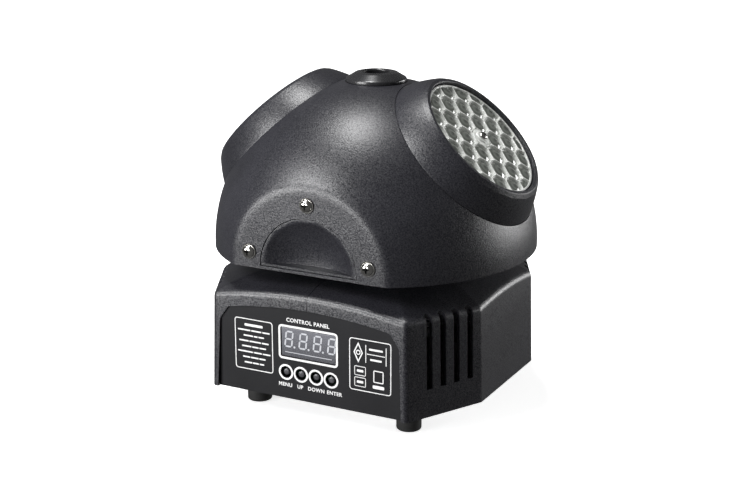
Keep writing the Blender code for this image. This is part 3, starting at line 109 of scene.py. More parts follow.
def combine(item, operation, *tools):
    for tool in tools:
        modifier = item.modifiers.new(tool.name, "BOOLEAN")
        modifier.operation = operation
        modifier.solver = "EXACT"
        modifier.object = tool
    settle(item)
    discard(*tools)
    return item


def tidyMesh(item):
    # specks left by the cuts are merged away
    shape = bmesh.new()
    shape.from_mesh(item.data)
    bmesh.ops.remove_doubles(shape, verts=shape.verts, dist=0.002 * mm)
    bmesh.ops.dissolve_degenerate(shape, edges=shape.edges, dist=0.002 * mm)
    opened = [edge for edge in shape.edges if len(edge.link_faces) == 1]
    bmesh.ops.holes_fill(shape, edges=opened)
    shape.to_mesh(item.data)
    shape.free()


def giveWall(item, thickness):
    wall = item.modifiers.new("wall", "SOLIDIFY")
    wall.thickness = thickness
    wall.offset = -1.0
    wall.use_even_offset = True
    return settle(item)


def softEdges(item, width, segments=3, angle=38):
    smoothShade(item, angle)
    edge = item.modifiers.new("edge", "BEVEL")
    edge.harden_normals = True
    edge.width = width
    edge.segments = segments
    edge.limit_method = "ANGLE"
    edge.angle_limit = math.radians(angle)
    return settle(item)


def polar(radius, degrees):
    angle = math.radians(degrees)
    return radius * math.cos(angle), radius * math.sin(angle)


def arcPoints(radius, start, end, count, centre=(0.0, 0.0)):
    points = []
    for i in range(count + 1):
        x, y = polar(radius, start + (end - start) * i / count)
        points.append((centre[0] + x, centre[1] + y))
    return points


def roundedLine(points, radius, steps=5, closed=False):
    # each corner of a flat line becomes a short curve
    count = len(points)
    result = []
    for i, point in enumerate(points):
        here = Vector(point)
        if not closed and i in (0, count - 1):
            result.append(tuple(here))
            continue
        before = Vector(points[i - 1]) - here
        after = Vector(points[(i + 1) % count]) - here
        turn = math.pi - before.angle(after)
        if turn < math.radians(8):
            result.append(tuple(here))
            continue
        reach = min(radius * math.tan(turn / 2), 0.45 * before.length, 0.45 * after.length)
        start = here + before.normalized() * reach
        end = here + after.normalized() * reach
        for step in range(steps + 1):
            t = step / steps
            result.append(tuple(start * (1 - t) ** 2 + here * 2 * t * (1 - t) + end * t ** 2))
    return result


def lathe(shape, profile, place=Matrix(), steps=96, closed=False):
    # profile: (radius, height) points; a radius of zero is a pole
    rings = []
    for radius, height in profile:
        if radius < 0.01 * mm:
            rings.append([shape.verts.new(place @ Vector((0, 0, height)))])
            continue
        rings.append([shape.verts.new(place @ Vector((*polar(radius, 360 * i / steps), height)))
                      for i in range(steps)])
    following = rings[1:] + rings[:1] if closed else rings[1:]
    for lower, upper in zip(rings, following):
        for i in range(steps):
            j = (i + 1) % steps
            corners = [lower[i % len(lower)], lower[j % len(lower)],
                       upper[j % len(upper)], upper[i % len(upper)]]
            unique = list(dict.fromkeys(corners))
            if len(unique) > 2:
                shape.faces.new(unique)


def prism(shape, outline, low, high, place=Matrix()):
    # a flat outline in X and Y, thick from low to high in Z, then placed
    floor = [shape.verts.new(place @ Vector((x, y, low))) for x, y in outline]
    roof = [shape.verts.new(place @ Vector((x, y, high))) for x, y in outline]
    shape.faces.new(floor)
    shape.faces.new(roof)
    for i in range(len(outline)):
        j = (i + 1) % len(outline)
        shape.faces.new((floor[i], floor[j], roof[j], roof[i]))


def cylinder(shape, radius, low, high, place=Matrix(), steps=96):
    lathe(shape, [(0, high), (radius, high), (radius, low), (0, low)], place, steps)


def block(shape, low, high):
    low = Vector(low)
    high = Vector(high)
    size = Matrix.Diagonal((*(high - low), 1.0))
    bmesh.ops.create_cube(shape, size=1.0, matrix=Matrix.Translation((low + high) / 2) @ size)


def tool(name, build, *args, **settings):
    shape = bmesh.new()
    build(shape, *args, **settings)
    return shapeItem(name, shape)


standing = Matrix(((1, 0, 0, 0), (0, 0, 1, 0), (0, 1, 0, 0), (0, 0, 0, 1)))  # X,Y drawn as X,Z


def fitPiece(item, body, slotName, *nodes):
    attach(item, body)
    if nodes:
        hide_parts(*nodes)
    return item


# ---- materials: every one reads Object coordinates

def put(tree, kind, inputs=None, **settings):
    node = tree.nodes.new(kind)
    for key, value in settings.items():
        setattr(node, key, value)
    for key, value in (inputs or {}).items():
        if isinstance(value, bpy.types.NodeSocket):
            tree.links.new(value, node.inputs[key])
        else:
            node.inputs[key].default_value = value
    return node


def colourRamp(tree, factor, stops):
    ramp = put(tree, "ShaderNodeValToRGB", {"Fac": factor})
    band = ramp.color_ramp
    while len(band.elements) < len(stops):
        band.elements.new(0.5)
    for element, (position, colour) in zip(band.elements, stops):
        element.position = position
        element.color = (*colour, 1.0)
    return ramp.outputs["Color"]


def spread(tree, factor, low, high):
    return put(tree, "ShaderNodeMapRange", {
        "Value": factor, "From Min": 0.3, "From Max": 0.7, "To Min": low, "To Max": high}).outputs["Result"]


def startMaterial(name, look):
    material = bpy.data.materials.new(name)
    material.use_nodes = True
    tree = material.node_tree
    shader = tree.nodes["Principled BSDF"]
    shader.inputs["Metallic"].default_value = look.get("metallic", 0.0)
    shader.inputs["Specular IOR Level"].default_value = look.get("specular", 0.5)
    shader.inputs["Coat Weight"].default_value = look.get("coat", 0.0)
    shader.inputs["Coat Roughness"].default_value = look.get("coatRoughness", 0.1)
    place = put(tree, "ShaderNodeTexCoord").outputs["Object"]
    stretch = look.get("stretch")
    if stretch:
        place = put(tree, "ShaderNodeMapping", {"Vector": place, "Scale": stretch}).outputs["Vector"]
    return material, tree, shader, place


def addRelief(tree, shader, height, depth, strength=1.0):
    bump = put(tree, "ShaderNodeBump", {"Height": height, "Distance": depth, "Strength": strength})
    tree.links.new(bump.outputs["Normal"], shader.inputs["Normal"])


def mottledMaterial(name, look):
    # a slow drift of tone, and a fine grain in both gloss and relief
    material, tree, shader, place = startMaterial(name, look)
    drift = put(tree, "ShaderNodeTexNoise", {"Vector": place, "Scale": look["driftScale"],
                                             "Detail": 3.0, "Roughness": 0.55}).outputs["Fac"]
    grain = put(tree, "ShaderNodeTexNoise", {"Vector": place, "Scale": look["grainScale"],
                                             "Detail": 2.0, "Roughness": 0.6}).outputs["Fac"]
    mixed = put(tree, "ShaderNodeMath", {0: drift, 1: grain}, operation="ADD").outputs["Value"]
    half = put(tree, "ShaderNodeMath", {0: mixed, 1: 0.5}, operation="MULTIPLY").outputs["Value"]
    colour = colourRamp(tree, half, ((0.35, look["dark"]), (0.65, look["light"])))
    tree.links.new(colour, shader.inputs["Base Color"])
    tree.links.new(spread(tree, grain, *look["roughness"]), shader.inputs["Roughness"])
    if "sparkle" in look:
        tree.links.new(spread(tree, grain, *look["sparkle"]), shader.inputs["Specular IOR Level"])
    addRelief(tree, shader, grain, look["grainDepth"])
    return material


def boardMaterial(name, look):
    # green lacquer over square-cornered copper tracks
    material, tree, shader, place = startMaterial(name, look)
    tracks = put(tree, "ShaderNodeTexVoronoi", {"Vector": place, "Scale": look["trackScale"]},
                 distance="CHEBYCHEV").outputs["Distance"]
    colour = colourRamp(tree, tracks, ((0.42, look["dark"]), (0.48, look["light"])))
    tree.links.new(colour, shader.inputs["Base Color"])
    tree.links.new(spread(tree, tracks, *look["roughness"]), shader.inputs["Roughness"])
    addRelief(tree, shader, tracks, look["grainDepth"])
    return material


def nickelMaterial(name, look):
    # bright plating, with painted shade darkening the inside of the cross recess
    material = mottledMaterial(name, look)
    tree = material.node_tree
    shader = tree.nodes["Principled BSDF"]
    depth = put(tree, "ShaderNodeAttribute", attribute_name="recess").outputs["Fac"]
    plated = shader.inputs["Base Color"].links[0].from_socket
    mixed = put(tree, "ShaderNodeMix", {"Factor": depth}, data_type="RGBA")
    tree.links.new(plated, mixed.inputs["A"])
    # the recess floor takes a near-black colour: painted shade
    mixed.inputs["B"].default_value = (*look["recessColour"], 1.0)
    colour = next(socket for socket in mixed.outputs if socket.type == "RGBA")
    tree.links.new(colour, shader.inputs["Base Color"])
    return material


def lensletMaterial(name, look):
    # painted reflections and refraction: each cell's glass darker at the middle, with paler bands towards its
    # edge
    material, tree, shader, place = startMaterial(name, look)
    reach = put(tree, "ShaderNodeAttribute", attribute_name="reach").outputs["Fac"]
    swirl = put(tree, "ShaderNodeTexNoise", {"Vector": place, "Scale": look["driftScale"],
                                             "Detail": 2.0}).outputs["Fac"]
    shift = put(tree, "ShaderNodeMapRange", {"Value": swirl, "From Min": 0.3, "From Max": 0.7,
                                             "To Min": -0.12, "To Max": 0.12}).outputs["Result"]
    factor = put(tree, "ShaderNodeMath", {0: reach, 1: shift}, operation="ADD").outputs["Value"]
    tree.links.new(colourRamp(tree, factor, look["stops"]), shader.inputs["Base Color"])
    tree.links.new(spread(tree, swirl, *look["roughness"]), shader.inputs["Roughness"])
    return material


def windowMaterial(name, look):
    # smoked window: paler at the top as painted light from above, with the fine dot pattern of the mask
    # behind it
    material, tree, shader, place = startMaterial(name, look)
    height = put(tree, "ShaderNodeSeparateXYZ", {"Vector": place}).outputs["Z"]
    share = put(tree, "ShaderNodeMapRange", {"Value": height, "From Min": look["low"],
                                             "From Max": look["high"]}).outputs["Result"]
    dots = put(tree, "ShaderNodeTexVoronoi", {"Vector": place, "Scale": look["dotScale"]}).outputs["Distance"]
    shade = put(tree, "ShaderNodeMath", {0: dots, 1: 0.10}, operation="MULTIPLY").outputs["Value"]
    factor = put(tree, "ShaderNodeMath", {0: share, 1: shade}, operation="SUBTRACT").outputs["Value"]
    colour = colourRamp(tree, factor, ((0.0, look["dark"]), (1.0, look["light"])))
    tree.links.new(colour, shader.inputs["Base Color"])
    tree.links.new(spread(tree, dots, *look["roughness"]), shader.inputs["Roughness"])
    return material


looks = {
    "housing_plastic": {"dark": (0.010, 0.010, 0.013), "light": (0.021, 0.021, 0.026),
                        "driftScale": 35.0, "grainScale": 1500.0, "grainDepth": 0.11 * mm,
                        "roughness": (0.30, 0.42), "sparkle": (0.15, 0.95)},
    "cap_plastic": {"dark": (0.014, 0.014, 0.015), "light": (0.024, 0.024, 0.026),
                    "driftScale": 60.0, "grainScale": 1800.0, "grainDepth": 0.006 * mm,
                    "roughness": (0.20, 0.30)},
    "panel_black": {"dark": (0.005, 0.005, 0.006), "light": (0.010, 0.010, 0.012), "specular": 0.22,
                    "driftScale": 40.0, "grainScale": 2200.0, "grainDepth": 0.020 * mm,
                    "roughness": (0.46, 0.58)},
    "foot_rubber": {"dark": (0.008, 0.008, 0.008), "light": (0.020, 0.020, 0.020),
                    "driftScale": 120.0, "grainScale": 1500.0, "grainDepth": 0.05 * mm,
                    "roughness": (0.70, 0.85)},
    "sheet_steel": {"dark": (0.36, 0.37, 0.38), "light": (0.52, 0.53, 0.54), "metallic": 1.0,
                    "driftScale": 30.0, "grainScale": 500.0, "grainDepth": 0.01 * mm,
                    "roughness": (0.32, 0.48), "stretch": (1.0, 8.0, 1.0)},
    "motor_steel": {"dark": (0.26, 0.26, 0.27), "light": (0.38, 0.38, 0.39), "metallic": 1.0,
                    "driftScale": 40.0, "grainScale": 900.0, "grainDepth": 0.008 * mm,
                    "roughness": (0.30, 0.42)},
    "bearing_steel": {"dark": (0.48, 0.48, 0.50), "light": (0.62, 0.62, 0.64), "metallic": 1.0,
                      "driftScale": 60.0, "grainScale": 1200.0, "grainDepth": 0.004 * mm,
                      "roughness": (0.16, 0.28), "stretch": (1.0, 1.0, 10.0)},
    # the nickel's recess colour is painted shade inside the cross recess
    "nickel": {"dark": (0.40, 0.39, 0.37), "light": (0.62, 0.61, 0.58), "metallic": 1.0,
               "driftScale": 300.0, "grainScale": 2500.0, "grainDepth": 0.003 * mm,
               "roughness": (0.10, 0.22), "recessColour": (0.03, 0.03, 0.03)},
    "aluminium": {"dark": (0.50, 0.51, 0.53), "light": (0.66, 0.67, 0.69), "metallic": 1.0,
                  "driftScale": 50.0, "grainScale": 800.0, "grainDepth": 0.01 * mm,
                  "roughness": (0.28, 0.42), "stretch": (6.0, 1.0, 1.0)},
    "circuit_board": {"dark": (0.020, 0.110, 0.045), "light": (0.050, 0.190, 0.080),
                      "trackScale": 260.0, "grainDepth": 0.02 * mm, "roughness": (0.35, 0.55)},
    # the window's low and high set where the painted light from above brightens its face
    "display_window": {"dark": (0.070, 0.071, 0.080), "light": (0.150, 0.152, 0.170),
                       "dotScale": 1600.0, "roughness": (0.22, 0.30), "low": 0.037, "high": 0.053},
    "clear_lens": {"dark": (0.66, 0.68, 0.65), "light": (0.86, 0.87, 0.84), "coat": 0.5,
                   "driftScale": 90.0, "grainScale": 900.0, "grainDepth": 0.01 * mm,
                   "roughness": (0.18, 0.30)},
    "belt_rubber": {"dark": (0.012, 0.012, 0.013), "light": (0.026, 0.026, 0.028),
                    "driftScale": 80.0, "grainScale": 900.0, "grainDepth": 0.05 * mm,
                    "roughness": (0.60, 0.78)},
    "socket_plastic": {"dark": (0.012, 0.012, 0.013), "light": (0.024, 0.024, 0.026),
                       "driftScale": 70.0, "grainScale": 1500.0, "grainDepth": 0.01 * mm,
                       "roughness": (0.32, 0.44)},
    "button_plastic": {"dark": (0.040, 0.040, 0.044), "light": (0.075, 0.075, 0.082),
                       "driftScale": 200.0, "grainScale": 1800.0, "grainDepth": 0.008 * mm,
                       "roughness": (0.24, 0.36)},
    "printInk": {"dark": (0.66, 0.66, 0.66), "light": (0.84, 0.84, 0.84),
                 "driftScale": 400.0, "grainScale": 3000.0, "grainDepth": 0.01 * mm,
                 "roughness": (0.45, 0.60)},
    "digitWhite": {"dark": (0.40, 0.41, 0.44), "light": (0.55, 0.56, 0.59),
                   "driftScale": 500.0, "grainScale": 2500.0, "grainDepth": 0.005 * mm,
                   "roughness": (0.30, 0.42)},
    # the lenslet stops paint reflections and refraction as rings of tone, dark at the middle and pale at the
    # edge
    "lensletGlass": {"roughness": (0.06, 0.12), "coat": 0.6, "coatRoughness": 0.05, "driftScale": 160.0,
                     "stops": ((0.10, (0.060, 0.066, 0.058)), (0.38, (0.150, 0.160, 0.145)),
                               (0.62, (0.075, 0.082, 0.072)), (0.84, (0.240, 0.250, 0.230)),
                               (1.0, (0.520, 0.530, 0.505)))},
}
makers = {"circuit_board": boardMaterial, "nickel": nickelMaterial,
          "display_window": windowMaterial, "lensletGlass": lensletMaterial}


def finishName(slotName):
    first, *others = slotName.split("_")
    return first + "".join(word.capitalize() for word in others)


materials = {}
for slotName, look in looks.items():
    materials[slotName] = makers.get(slotName, mottledMaterial)(finishName(slotName), look)
print("materials made:", len(materials))


# ---- Geometry Nodes tools

def startTree(name, inputs):
    tree = bpy.data.node_groups.new(name, "GeometryNodeTree")
    tree.interface.new_socket("Geometry", in_out="INPUT", socket_type="NodeSocketGeometry")
    for label, kind in inputs:
        tree.interface.new_socket(label, in_out="INPUT", socket_type="NodeSocket" + kind)
    tree.interface.new_socket("Geometry", in_out="OUTPUT", socket_type="NodeSocketGeometry")
    given = tree.nodes.new("NodeGroupInput").outputs
    return tree, given


def endTree(tree, geometry, material):
    real = put(tree, "GeometryNodeRealizeInstances", {"Geometry": geometry}).outputs["Geometry"]
    closeTree(tree, real, material)


def closeTree(tree, geometry, material):
    painted = put(tree, "GeometryNodeSetMaterial", {"Geometry": geometry, "Material": material})
    put(tree, "NodeGroupOutput", {"Geometry": painted.outputs["Geometry"]})


def calc(tree, operation, first, second=0.0, third=0.0):
    return put(tree, "ShaderNodeMath", {0: first, 1: second, 2: third}, operation=operation).outputs["Value"]


def grow(name, tree, inputs, mesh=None):
    item = addItem(name, mesh or bpy.data.meshes.new(name))
    modifier = item.modifiers.new("grow", "NODES")
    modifier.node_group = tree
    named = {socket.name: socket.identifier for socket in tree.interface.items_tree
             if socket.in_out == "INPUT"}
    for label, value in inputs.items():
        modifier[named[label]] = value
    settle(item)
    # only the set material is kept, in the first place
    item.data.materials.clear()
    item.data.materials.append(inputs["Material"])
    item.data.polygons.foreach_set("material_index", [0] * len(item.data.polygons))
    return item


def fastenerTree():
    # one fastener on each point, turned by the point's own "turn"
    tree, given = startTree("fastenerSet", (("Fastener", "Object"), ("Scale", "Float"),
                                            ("Material", "Material")))
    source = put(tree, "GeometryNodeObjectInfo", {"Object": given["Fastener"]}).outputs["Geometry"]
    turn = put(tree, "GeometryNodeInputNamedAttribute", {"Name": "turn"}, data_type="FLOAT_VECTOR")
    spots = put(tree, "GeometryNodeInstanceOnPoints", {
        "Points": given["Geometry"], "Instance": source,
        "Rotation": turn.outputs["Attribute"], "Scale": given["Scale"]}).outputs["Instances"]
    endTree(tree, spots, given["Material"])
    return tree


def spotMesh(name, spots):
    # spots: (place, Euler turn) pairs
    mesh = bpy.data.meshes.new(name)
    mesh.from_pydata([place for place, turn in spots], [], [])
    layer = mesh.attributes.new("turn", "FLOAT_VECTOR", "POINT")
    for entry, (place, turn) in zip(layer.data, spots):
        entry.vector = turn
    return mesh


def crossScrew(name, actual):
    # pan head with a flange and a cross recess, its seat at height zero, pointing up; cut large, then shrunk
    enlarged = 50
    size = {key: value * enlarged for key, value in actual.items()}
    shape = bmesh.new()
    crown = size["height"]
    flange = size["flange"]
    dome = size["dome"]
    profile = [(0, crown)]
    for share in (0.25, 0.5, 0.7, 0.85, 0.95, 1.0):
        profile.append((dome * share, flange + (crown - flange) * math.sqrt(max(0.0, 1 - share ** 2.6))))
    chamfer = 0.3 * flange
    profile += [(size["radius"] - chamfer, flange), (size["radius"], flange - chamfer),
                (size["radius"], 0), (size["shank"], 0), (size["shank"], -size["length"]),
                (0, -size["length"])]
    lathe(shape, profile, steps=48)
    screw = shapeItem(name, shape)
    wing = size["wing"]
    reach = size["reach"]
    floor = crown - size["recess"]
    outline = [(wing, wing), (reach, wing * 0.8), (reach, -wing * 0.8), (wing, -wing), (wing * 0.8, -reach),
               (-wing * 0.8, -reach), (-wing, -wing), (-reach, -wing * 0.8), (-reach, wing * 0.8),
               (-wing, wing), (-wing * 0.8, reach), (wing * 0.8, reach)]
    combine(screw, "DIFFERENCE", tool(name + "Cross", prism, outline, floor, 2 * crown))
    # points at the recess floor are marked for the painted shade of the nickel finish
    layer = screw.data.attributes.new("recess", "FLOAT", "POINT")
    for entry, vert in zip(layer.data, screw.data.vertices):
        entry.value = 1.0 if floor - 0.1 * crown < vert.co.z < floor + 0.1 * crown else 0.0
    screw.data.transform(Matrix.Scale(1 / enlarged, 4))
    return smoothShade(screw, 30)


fastenerSet = fastenerTree()


# ---- base

cover = {
    "width": 155.0 * mm, "depth": 152.8 * mm, "frontFace": 111.6 * mm, "sideFace": 67.7 * mm,
    "draft": 1.5 * mm, "wall": 2.2 * mm, "cornerRadius": 3.2 * mm, "edgeRadius": 2.6 * mm,
    "frontEdgeDrop": 9.7 * mm, "sideEdgeDrop": 10.6 * mm, "frontArch": 4.9 * mm, "sideArch": 1.9 * mm,
    "roofRadius": 47.0 * mm, "middleRadius": 38.0 * mm, "openingRadius": 29.0 * mm,
    "crown": 1.9, "seam": 0.3 * mm, "soft": 0.35 * mm,
}
coverLow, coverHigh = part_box("base_cover_left")
undersideZ = coverLow.z
roofZ = coverHigh.z


def octagonCorners(inset):
    halfX = cover["width"] / 2
    halfY = cover["depth"] / 2
    frontEnd = Vector((cover["frontFace"] / 2, -halfY))
    sideEnd = Vector((halfX, -cover["sideFace"] / 2))
    along = (sideEnd - frontEnd).normalized()
    normal = Vector((along.y, -along.x))
    offset = normal.dot(frontEnd) - inset
    y = -halfY + inset
    x = halfX - inset
    first = ((offset - normal.y * y) / normal.x, y)
    second = (x, (offset - normal.x * x) / normal.y)
    right = [first, second, (second[0], -second[1]), (first[0], -first[1])]
    return [(-first[0], first[1])] + right + [(-a, b) for a, b in reversed(right[1:])]


def edgeHeight(side, share):
    frontZ = roofZ - cover["frontEdgeDrop"]
    sideZ = roofZ - cover["sideEdgeDrop"]
    swell = 1 - (2 * share - 1) ** 2
    if side % 4 == 0:
        return frontZ + cover["frontArch"] * swell
    if side % 4 == 2:
        return sideZ + cover["sideArch"] * swell
    start, end = (frontZ, sideZ) if side % 4 == 1 else (sideZ, frontZ)
    ease = share * share * (3 - 2 * share)
    return start + (end - start) * ease


def baseOutline(inset, cornerSteps=6):
    # points round the octagon with its corners rounded: place, face and share along the face
    corners = [Vector(point) for point in octagonCorners(inset)]
    faceSteps = (26, 10, 16, 10, 26, 10, 16, 10)
    result = []
    for side in range(8):
        here = corners[side]
        before = (corners[side - 1] - here).normalized()
        after = (corners[(side + 1) % 8] - here).normalized()
        turn = math.pi - before.angle(after)
        reach = cover["cornerRadius"] * math.tan(turn / 2)
        start = here + before * reach
        end = here + after * reach
        for step in range(cornerSteps):
            t = step / cornerSteps
            result.append((start * (1 - t) ** 2 + here * 2 * t * (1 - t) + end * t ** 2, side, 0.0))
        finish = corners[(side + 1) % 8] - after * reach
        for step in range(faceSteps[side]):
            share = step / faceSteps[side]
            result.append((end.lerp(finish, share), side, share))
    return result


def coverColumns():
    # one profile for each outline point: up the wall, round the edge, then in over the roof
    columns = []
    for (low, side, share), upper in zip(baseOutline(0.0), baseOutline(cover["draft"])):
        top = upper[0]
        bottom = Vector((low.x, low.y, undersideZ))
        edge = Vector((top.x, top.y, edgeHeight(side, share)))
        distance = math.hypot(edge.x, edge.y)
        inward = 1 - cover["roofRadius"] / distance

        def roofPoint(part):
            rise = 1 - max(0.0, 1 - part) ** cover["crown"]
            scale = 1 - inward * part
            return Vector((edge.x * scale, edge.y * scale, edge.z + (roofZ - edge.z) * rise))

        startShare = cover["edgeRadius"] / (distance - cover["roofRadius"])
        wallTop = edge + (bottom - edge).normalized() * cover["edgeRadius"]
        roofStart = roofPoint(startShare)
        column = [bottom.lerp(wallTop, part) for part in (0.0, 0.34, 0.67)]
        for step in range(8):
            t = step / 7
            column.append(wallTop * (1 - t) ** 2 + edge * 2 * t * (1 - t) + roofStart * t ** 2)
        for step in range(1, 15):
            column.append(roofPoint(startShare + (1 - startShare) * step / 14))
        for radius in (cover["middleRadius"], cover["openingRadius"]):
            column.append(Vector((edge.x * radius / distance, edge.y * radius / distance, roofZ)))
        columns.append(column)
    return columns


panel = {
    "openingMargin": 2.6 * mm, "openingLean": 1.9 * mm, "openingShoulder": 13.6 * mm,
    "chamferX": 5.1 * mm, "chamferTop": 6.3 * mm, "crownTop": 7.2 * mm,
    "buttonPitch": 8.67 * mm, "buttonDrop": 16.2 * mm, "ringRadius": 4.2 * mm, "ringLine": 1.0 * mm,
    "frameLine": 0.45 * mm, "displayLine": 1.1 * mm, "inkHeight": 0.06 * mm,
    "titleSize": 2.9 * mm, "titleRise": 11.9 * mm, "nameSize": 2.75 * mm, "nameDrop": 6.8 * mm,
    "displayFrame": (34.1 * mm, 18.2 * mm, 2.0 * mm),
    "nameX": {"menu": -13.4 * mm, "up": -4.8 * mm, "down": 4.5 * mm, "enter": 14.9 * mm},
}


def openingOutline():
    frontZ = roofZ - cover["frontEdgeDrop"]
    footX = cover["frontFace"] / 2 - panel["openingMargin"]
    shoulderX = footX - panel["openingLean"]
    chamferX = shoulderX - panel["chamferX"]
    shoulderZ = frontZ - panel["openingShoulder"]
    chamferZ = frontZ - panel["chamferTop"]
    crownZ = frontZ + cover["frontArch"] - panel["crownTop"]
    corners = [(footX, undersideZ - 4 * mm), (shoulderX, shoulderZ), (chamferX, chamferZ)]
    right = roundedLine(corners + [(0.0, crownZ)], 3.0 * mm)[:-1]
    crown = []
    edgeX, edgeZ = right[-1]
    for i in range(1, 24):
        x = edgeX * (1 - 2 * i / 24)
        crown.append((x, edgeZ + (crownZ - edgeZ) * (1 - (x / edgeX) ** 2)))
    return right + crown + [(-x, z) for x, z in reversed(right)]


vents = {"count": 4, "width": 3.7 * mm, "bottom": 14.4 * mm, "reach": 3.6 * mm,
         "frontMargin": 15.0 * mm, "backMargin": 7.3 * mm}


def ventShapes(shape):
    corners = octagonCorners(0.0)
    frontEnd = Vector(corners[1])
    sideEnd = Vector(corners[2])
    length = (sideEnd - frontEnd).length
    along = (sideEnd - frontEnd).normalized()
    inward = Vector((-along.y, along.x))
    pitch = (length - vents["frontMargin"] - vents["backMargin"]) / (vents["count"] - 1)
    half = vents["width"] / 2
    depth = cover["draft"] + vents["reach"]
    turned = Matrix(((along.x, inward.x, 0, 0), (along.y, inward.y, 0, 0), (0, 0, 1, 0), (0, 0, 0, 1)))
    outline = [(-half, -3 * mm), (half, -3 * mm)] + arcPoints(half, 0, 180, 10, centre=(0.0, depth - half))
    for flipX in (1, -1):
        for flipY in (1, -1):
            for i in range(vents["count"]):
                centre = frontEnd + along * (vents["frontMargin"] + pitch * i)
                place = Matrix.Diagonal((flipX, flipY, 1, 1))
                place = place @ Matrix.Translation((centre.x, centre.y, 0)) @ turned
                prism(shape, outline, undersideZ + vents["bottom"], roofZ + 5 * mm, place)


def makeCovers():
    shape = bmesh.new()
    columns = coverColumns()
    grid = [[shape.verts.new(point) for point in column] for column in columns]
    for i, column in enumerate(grid):
        following = grid[(i + 1) % len(grid)]
        for j in range(len(column) - 1):
            shape.faces.new((column[j], following[j], following[j + 1], column[j + 1]))
    shell = shapeItem("coverShell", shape, materials["housing_plastic"])
    giveWall(shell, cover["wall"])
    outline = openingOutline()
    half = cover["depth"] / 2
    tools = [tool("ventTool", ventShapes)]
    for side in (-1, 1):
        near, far = sorted((side * (half - 2.6 * cover["wall"]), side * (half + cover["wall"])))
        tools.append(tool("openingTool", prism, outline, near, far, standing))
    combine(shell, "DIFFERENCE", *tools)
    reach = cover["width"]
    for side, hand in ((-1, "Left"), (1, "Right")):
        piece = addItem("baseCover" + hand, shell.data.copy())
        near, far = sorted((side * cover["seam"] / 2, side * reach))
        combine(piece, "INTERSECT", tool("halfTool", block, (near, -reach, 0), (far, reach, reach)))
        softEdges(piece, cover["soft"], segments=2, angle=42)
        fitPiece(piece, "base", "housing_plastic", "base_cover_" + hand.lower())
    discard(shell)


makeCovers()
print("covers made")


# a closer copy of a moulded or turned CAD node, with its hard edges rounded off
def softCopy(name, node, body, slotName, width, segments=2):
    mesh = frame["nodes"][node].data.copy()
    shape = bmesh.new()
    shape.from_mesh(mesh)
    bmesh.ops.remove_doubles(shape, verts=shape.verts, dist=0.002 * mm)
    bmesh.ops.dissolve_limit(shape, angle_limit=math.radians(1.0), verts=shape.verts, edges=shape.edges)
    piece = shapeItem(name, shape, materials[slotName], 30)
    softEdges(piece, width, segments, 30)
    return fitPiece(piece, body, slotName, node)


def makePanels():
    softCopy("frontPanel", "front_panel", "base", "panel_black", 0.15 * mm)
    softCopy("rearPanel", "rear_panel", "base", "panel_black", 0.15 * mm)
    softCopy("chassisPlate", "chassis_plate", "base", "sheet_steel", 0.25 * mm)


foot = {"radius": 6.5 * mm, "edge": 1.2 * mm, "waist": 0.25 * mm}


def footTree():
    # one foot at each corner of a rectangle
    tree, given = startTree("footSet", (("Foot", "Object"), ("Spread X", "Float"), ("Spread Y", "Float"),
                                        ("Material", "Material")))
    corners = put(tree, "GeometryNodeMeshGrid", {
        "Size X": given["Spread X"], "Size Y": given["Spread Y"], "Vertices X": 2, "Vertices Y": 2})
    source = put(tree, "GeometryNodeObjectInfo", {"Object": given["Foot"]}).outputs["Geometry"]
    spots = put(tree, "GeometryNodeInstanceOnPoints", {"Points": corners.outputs["Mesh"], "Instance": source})
    endTree(tree, spots.outputs["Instances"], given["Material"])
    return tree


def makeFeet():
    low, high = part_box("foot_rear_right")
    middle = (low + high) / 2
    height = high.z - low.z
    radius = foot["radius"]
    shape = bmesh.new()
    line = [(0, height), (radius, height), (radius - foot["waist"], height * 0.55),
            (radius, height * 0.3), (radius, 0), (0, 0)]
    lathe(shape, roundedLine(line, foot["edge"], 6), steps=48)
    one = shapeItem("oneFoot", shape)
    feet = grow("feet", footTree(), {"Foot": one, "Spread X": 2 * middle.x, "Spread Y": 2 * middle.y,
                                     "Material": materials["foot_rubber"]})
    discard(one)
    smoothShade(feet)
    names = [f"foot_{place}_{hand}" for place in ("front", "rear") for hand in ("left", "right")]
    fitPiece(feet, "base", "foot_rubber", *names)


makePanels()
makeFeet()
print("panels and feet made")


# ---- front panel: print, display and buttons

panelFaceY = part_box("front_panel")[0].y
displayLow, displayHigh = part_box("display_module")
displayMiddle = (displayLow + displayHigh) / 2


def band(shape, outer, inner, place):
    # a flat closed band between two outlines with the same number of points
    rings = []
    for z, line in ((0, outer), (panel["inkHeight"], outer), (panel["inkHeight"], inner), (0, inner)):
        rings.append([shape.verts.new(place @ Vector((x, y, z))) for x, y in line])
    count = len(outer)
    for lower, upper in zip(rings, rings[1:] + rings[:1]):
        for i in range(count):
            j = (i + 1) % count
            shape.faces.new((lower[i], lower[j], upper[j], upper[i]))


def roundedBox(width, height, radius, steps=6):
    x = width / 2 - radius
    y = height / 2 - radius
    points = []
    for start, cx, cy in ((0, x, y), (90, -x, y), (180, -x, -y), (270, x, -y)):
        points += arcPoints(radius, start, start + 90, steps, centre=(cx, cy))
    return points


def inkPlace(x, z):
    # printed outlines are drawn in X and Z and stand just proud of the panel
    lift = panel["inkHeight"] * 0.4
    turned = Matrix(((1, 0, 0, 0), (0, 0, -1, 0), (0, 1, 0, 0), (0, 0, 0, 1)))
    return Matrix.Translation((x, panelFaceY + lift, z)) @ turned


def printedFrame(shape, x, z, width, height, radius, line):
    outer = roundedBox(width, height, radius)
    inner = roundedBox(width - 2 * line, height - 2 * line, max(radius - line, 0.2 * mm))
    band(shape, outer, inner, inkPlace(x, z))


